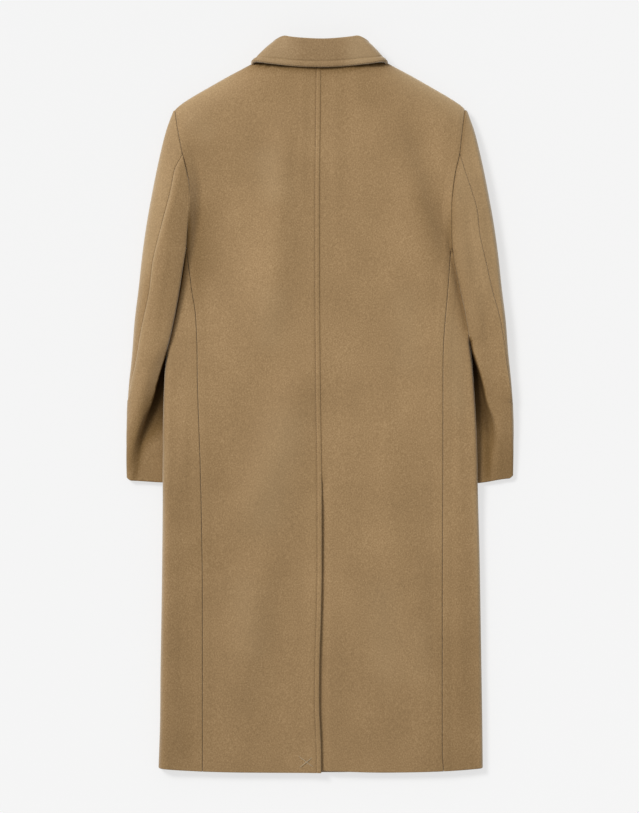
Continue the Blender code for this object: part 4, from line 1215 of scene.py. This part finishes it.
def topstitches(line):
    """Single stitches along a line on the cloth, each humped a little above it."""
    run = run_along(line)
    paths = []
    for start in np.arange(2.0, run[-1] - STITCH - 2.0, STITCH + STITCH_GAP):
        at = start + np.linspace(0, STITCH, 5)
        path = np.stack([np.interp(at, run, line[:, k]) for k in range(3)], axis=1)
        path[:, 2] += STITCH_HUMP * np.sin(np.pi * np.linspace(0, 1, 5))
        paths.append(path)
    return paths


TONAL_THREAD = thread("camel_polyester_thread", "725735")
for place_sewn, stitch_line in (("centre_back", centre_stitch_line),
                                ("collar", collar_stitch_line)):
    strands(place_sewn + "_topstitching", topstitches(stitch_line), THREAD_RADIUS, TONAL_THREAD)

# ------------------------------------------------------------------ Vent tack
# Two long crossed stitches in ivory basting cotton hold the corner of the vent for
# delivery. They are drawn tight, so the cloth dimples where they go in.
TACK_RADIUS = 0.34
TACK_STRANDS = ((-35.5, -571.0, -10.5, -589.5), (-34.0, -590.0, -12.5, -573.5))


def tack_strand(x0, y0, x1, y1):
    share = np.linspace(0, 1, 17)
    x = x0 + (x1 - x0) * share
    y = y0 + (y1 - y0) * share
    z = top_height(LEFT, -x, y) + 1.4 + 0.5 * np.sin(np.pi * share)
    return np.stack((x, y, z), axis=1)


strands("vent_cross_tack", [tack_strand(*ends) for ends in TACK_STRANDS], TACK_RADIUS,
        thread("ivory_basting_cotton", "b9ab90"))

# ------------------------------------------------------------------ Buttons
# Five four-hole buttons in dark horn, turned and polished. They are sewn to the under
# front and hidden inside the fly, so their CAD solids are shown as they are.


def horn():
    """Polished horn: dark streaks along the growth and a satin gloss."""
    polished, tree, shader, place = material("polished_dark_horn", {"Roughness": 0.3})
    grown = add(tree, "ShaderNodeMapping", {"Scale": (1.0, 0.2, 1.0)}, {"Vector": place})
    streaks = add(tree, "ShaderNodeTexNoise", {"Scale": 1000 / 2.4, "Detail": 3.0},
                  {"Vector": grown})
    ramp = add(tree, "ShaderNodeValToRGB", (), {"Fac": streaks})
    for stop, position, colour in zip(ramp.color_ramp.elements, (0.35, 0.68),
                                      ("2e2118", "6a4c33")):
        stop.position = position
        stop.color = linear(colour)
    link(tree, shader, {"Base Color": ramp})
    return polished


HORN = horn()
for number in range(1, 6):
    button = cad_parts["button_%d" % number]
    button.data.materials.clear()
    button.data.materials.append(HORN)

# ------------------------------------------------------------------ Table, light and camera
# The coat lies on a pale matt table top. A large soft box stands up and to the left with a
# honeycomb grid on it, so that it is brightest where it aims, and white walls all round
# fill the shade. The camera hangs straight above on a long lens. Sizes here are in metres.
PALE = linear("f5f5f5")
LAMP = np.array((-3.2, 2.9, 4.9))
AIM = np.array((0.45, 0.05, 0.0))
LAMP_REACH = float(np.linalg.norm(AIM - LAMP))
LAMP_AXIS = (AIM - LAMP) / LAMP_REACH
GRID_ANGLE = math.radians(25)  # half the angle the grid lets through
LAMP_SIZE = 1.9
MEAN_SLANT = 0.383 * LAMP_SIZE / LAMP_REACH  # of the rays from all over the soft box
AIM_SHARE = 1 - MEAN_SLANT / math.tan(GRID_ANGLE)
KEY, FILL = 0.56, 0.44  # the lamp's and the walls' share of the light
PAINT, GLOW = 0.27, 0.645  # what the paint gives back at the aim, and the light behind it
TABLE_REACH, TABLE_Z = 9, -0.0004  # in metres, just clear of the cloth
table_mesh = bpy.data.meshes.new("table_top")
table_mesh.from_pydata([(x * TABLE_REACH, y * TABLE_REACH, TABLE_Z)
                        for x, y in ((-1, -1), (1, -1), (1, 1), (-1, 1))], [], [(0, 1, 2, 3)])
table_top = bpy.data.objects.new("table_top", table_mesh)
bpy.context.collection.objects.link(table_top)


def seen_directly(tree):
    """1 on the rays that show a surface to the camera, straight, by gloss or through glass."""
    path = add(tree, "ShaderNodeLightPath")
    either = add(tree, "ShaderNodeMath", {"operation": "MAXIMUM"},
                 {0: path.outputs["Is Camera Ray"], 1: path.outputs["Is Glossy Ray"]})
    return add(tree, "ShaderNodeMath", {"operation": "MAXIMUM"},
               {0: either, 1: path.outputs["Is Transmission Ray"]})


def painted_board():
    """Matt painted board, lit from behind so that it shows an even pale ground.

    The paint darkens towards the lamp's aim by as much as the lamp's light falls off.
    """
    board, tree, shader, place = material("matt_painted_board", {
        "Emission Color": (1.0, 1.0, 1.0, 1.0), "Roughness": 1.0, "Specular IOR Level": 0.0})

    ray = add(tree, "ShaderNodeVectorMath", {"operation": "SUBTRACT", 1: tuple(LAMP)},
              {0: place})
    reach = add(tree, "ShaderNodeVectorMath", {"operation": "LENGTH"}, {0: ray})
    along, beside = [add(tree, "ShaderNodeVectorMath", {"operation": operation,
                                                        1: tuple(LAMP_AXIS)}, {0: ray})
                     for operation in ("DOT_PRODUCT", "CROSS_PRODUCT")]
    aside = add(tree, "ShaderNodeVectorMath", {"operation": "LENGTH"}, {0: beside})
    slant = add(tree, "ShaderNodeMath", {"operation": "DIVIDE"},
                {0: aside.outputs["Value"], 1: along.outputs["Value"]})
    slant = add(tree, "ShaderNodeMath", {"operation": "MULTIPLY_ADD", 2: MEAN_SLANT ** 2},
                {0: slant, 1: slant})
    slant = add(tree, "ShaderNodeMath", {"operation": "SQRT"}, {0: slant})
    passed = add(tree, "ShaderNodeMath", {"operation": "MULTIPLY_ADD", "use_clamp": True,
                                          1: -1 / math.tan(GRID_ANGLE) / AIM_SHARE,
                                          2: 1 / AIM_SHARE}, {0: slant})
    spread = add(tree, "ShaderNodeMath", {"operation": "POWER", 1: -3.0},
                 {0: reach.outputs["Value"]})
    key = add(tree, "ShaderNodeMath", {"operation": "MULTIPLY"}, {0: passed, 1: spread})
    level = add(tree, "ShaderNodeMath", {"operation": "MULTIPLY_ADD",
                                         1: KEY * LAMP_REACH ** 3, 2: FILL}, {0: key})
    paint = add(tree, "ShaderNodeMath", {"operation": "DIVIDE", 0: PAINT}, {1: level})
    seen = seen_directly(tree)
    colour = add(tree, "ShaderNodeMix", {"data_type": "RGBA", 6: PALE}, {0: seen, 7: paint})
    glow = add(tree, "ShaderNodeMath", {"operation": "MULTIPLY", 1: GLOW}, {0: seen})
    link(tree, shader, {"Base Color": colour.outputs[2], "Emission Strength": glow})
    return board


table_mesh.materials.append(painted_board())

world = bpy.data.worlds.new("white_walls")
world.use_nodes = True
bpy.context.scene.world = world
walls = world.node_tree
backdrop = walls.nodes["Background"]
walls_seen = add(walls, "ShaderNodeLightPath").outputs["Is Camera Ray"]
fill = add(walls, "ShaderNodeMix", {"data_type": "FLOAT", 2: FILL, 3: PALE[0]},
           {0: walls_seen})
backdrop.inputs["Color"].default_value = (1.0, 1.0, 1.0, 1.0)
link(walls, backdrop, {"Strength": fill})

soft_box = bpy.data.lights.new("soft_box", "AREA")
soft_box.shape = "SQUARE"
soft_box.size = LAMP_SIZE
soft_box.spread = 2 * GRID_ANGLE
held_back = (1 - GRID_ANGLE / math.tan(GRID_ANGLE)) / AIM_SHARE
soft_box.energy = KEY * math.pi ** 2 * LAMP_REACH ** 3 / LAMP[2] * held_back
soft_box_stand = bpy.data.objects.new("soft_box", soft_box)
soft_box_stand.location = LAMP
soft_box_stand.rotation_euler = (0, math.acos(-LAMP_AXIS[2]),
                                 math.atan2(-LAMP_AXIS[1], -LAMP_AXIS[0]))
bpy.context.collection.objects.link(soft_box_stand)

COAT_MIDDLE = (-0.0011, -0.0033)
CAMERA_HEIGHT = 5.524
lens = bpy.data.cameras.new("overhead_camera")
lens.lens = 150
lens.sensor_width = 36
lens.clip_end = 60
camera = bpy.data.objects.new("overhead_camera", lens)
camera.location = (*COAT_MIDDLE, CAMERA_HEIGHT)
bpy.context.collection.objects.link(camera)
bpy.context.scene.camera = camera
bpy.context.scene.view_settings.view_transform = "Standard"
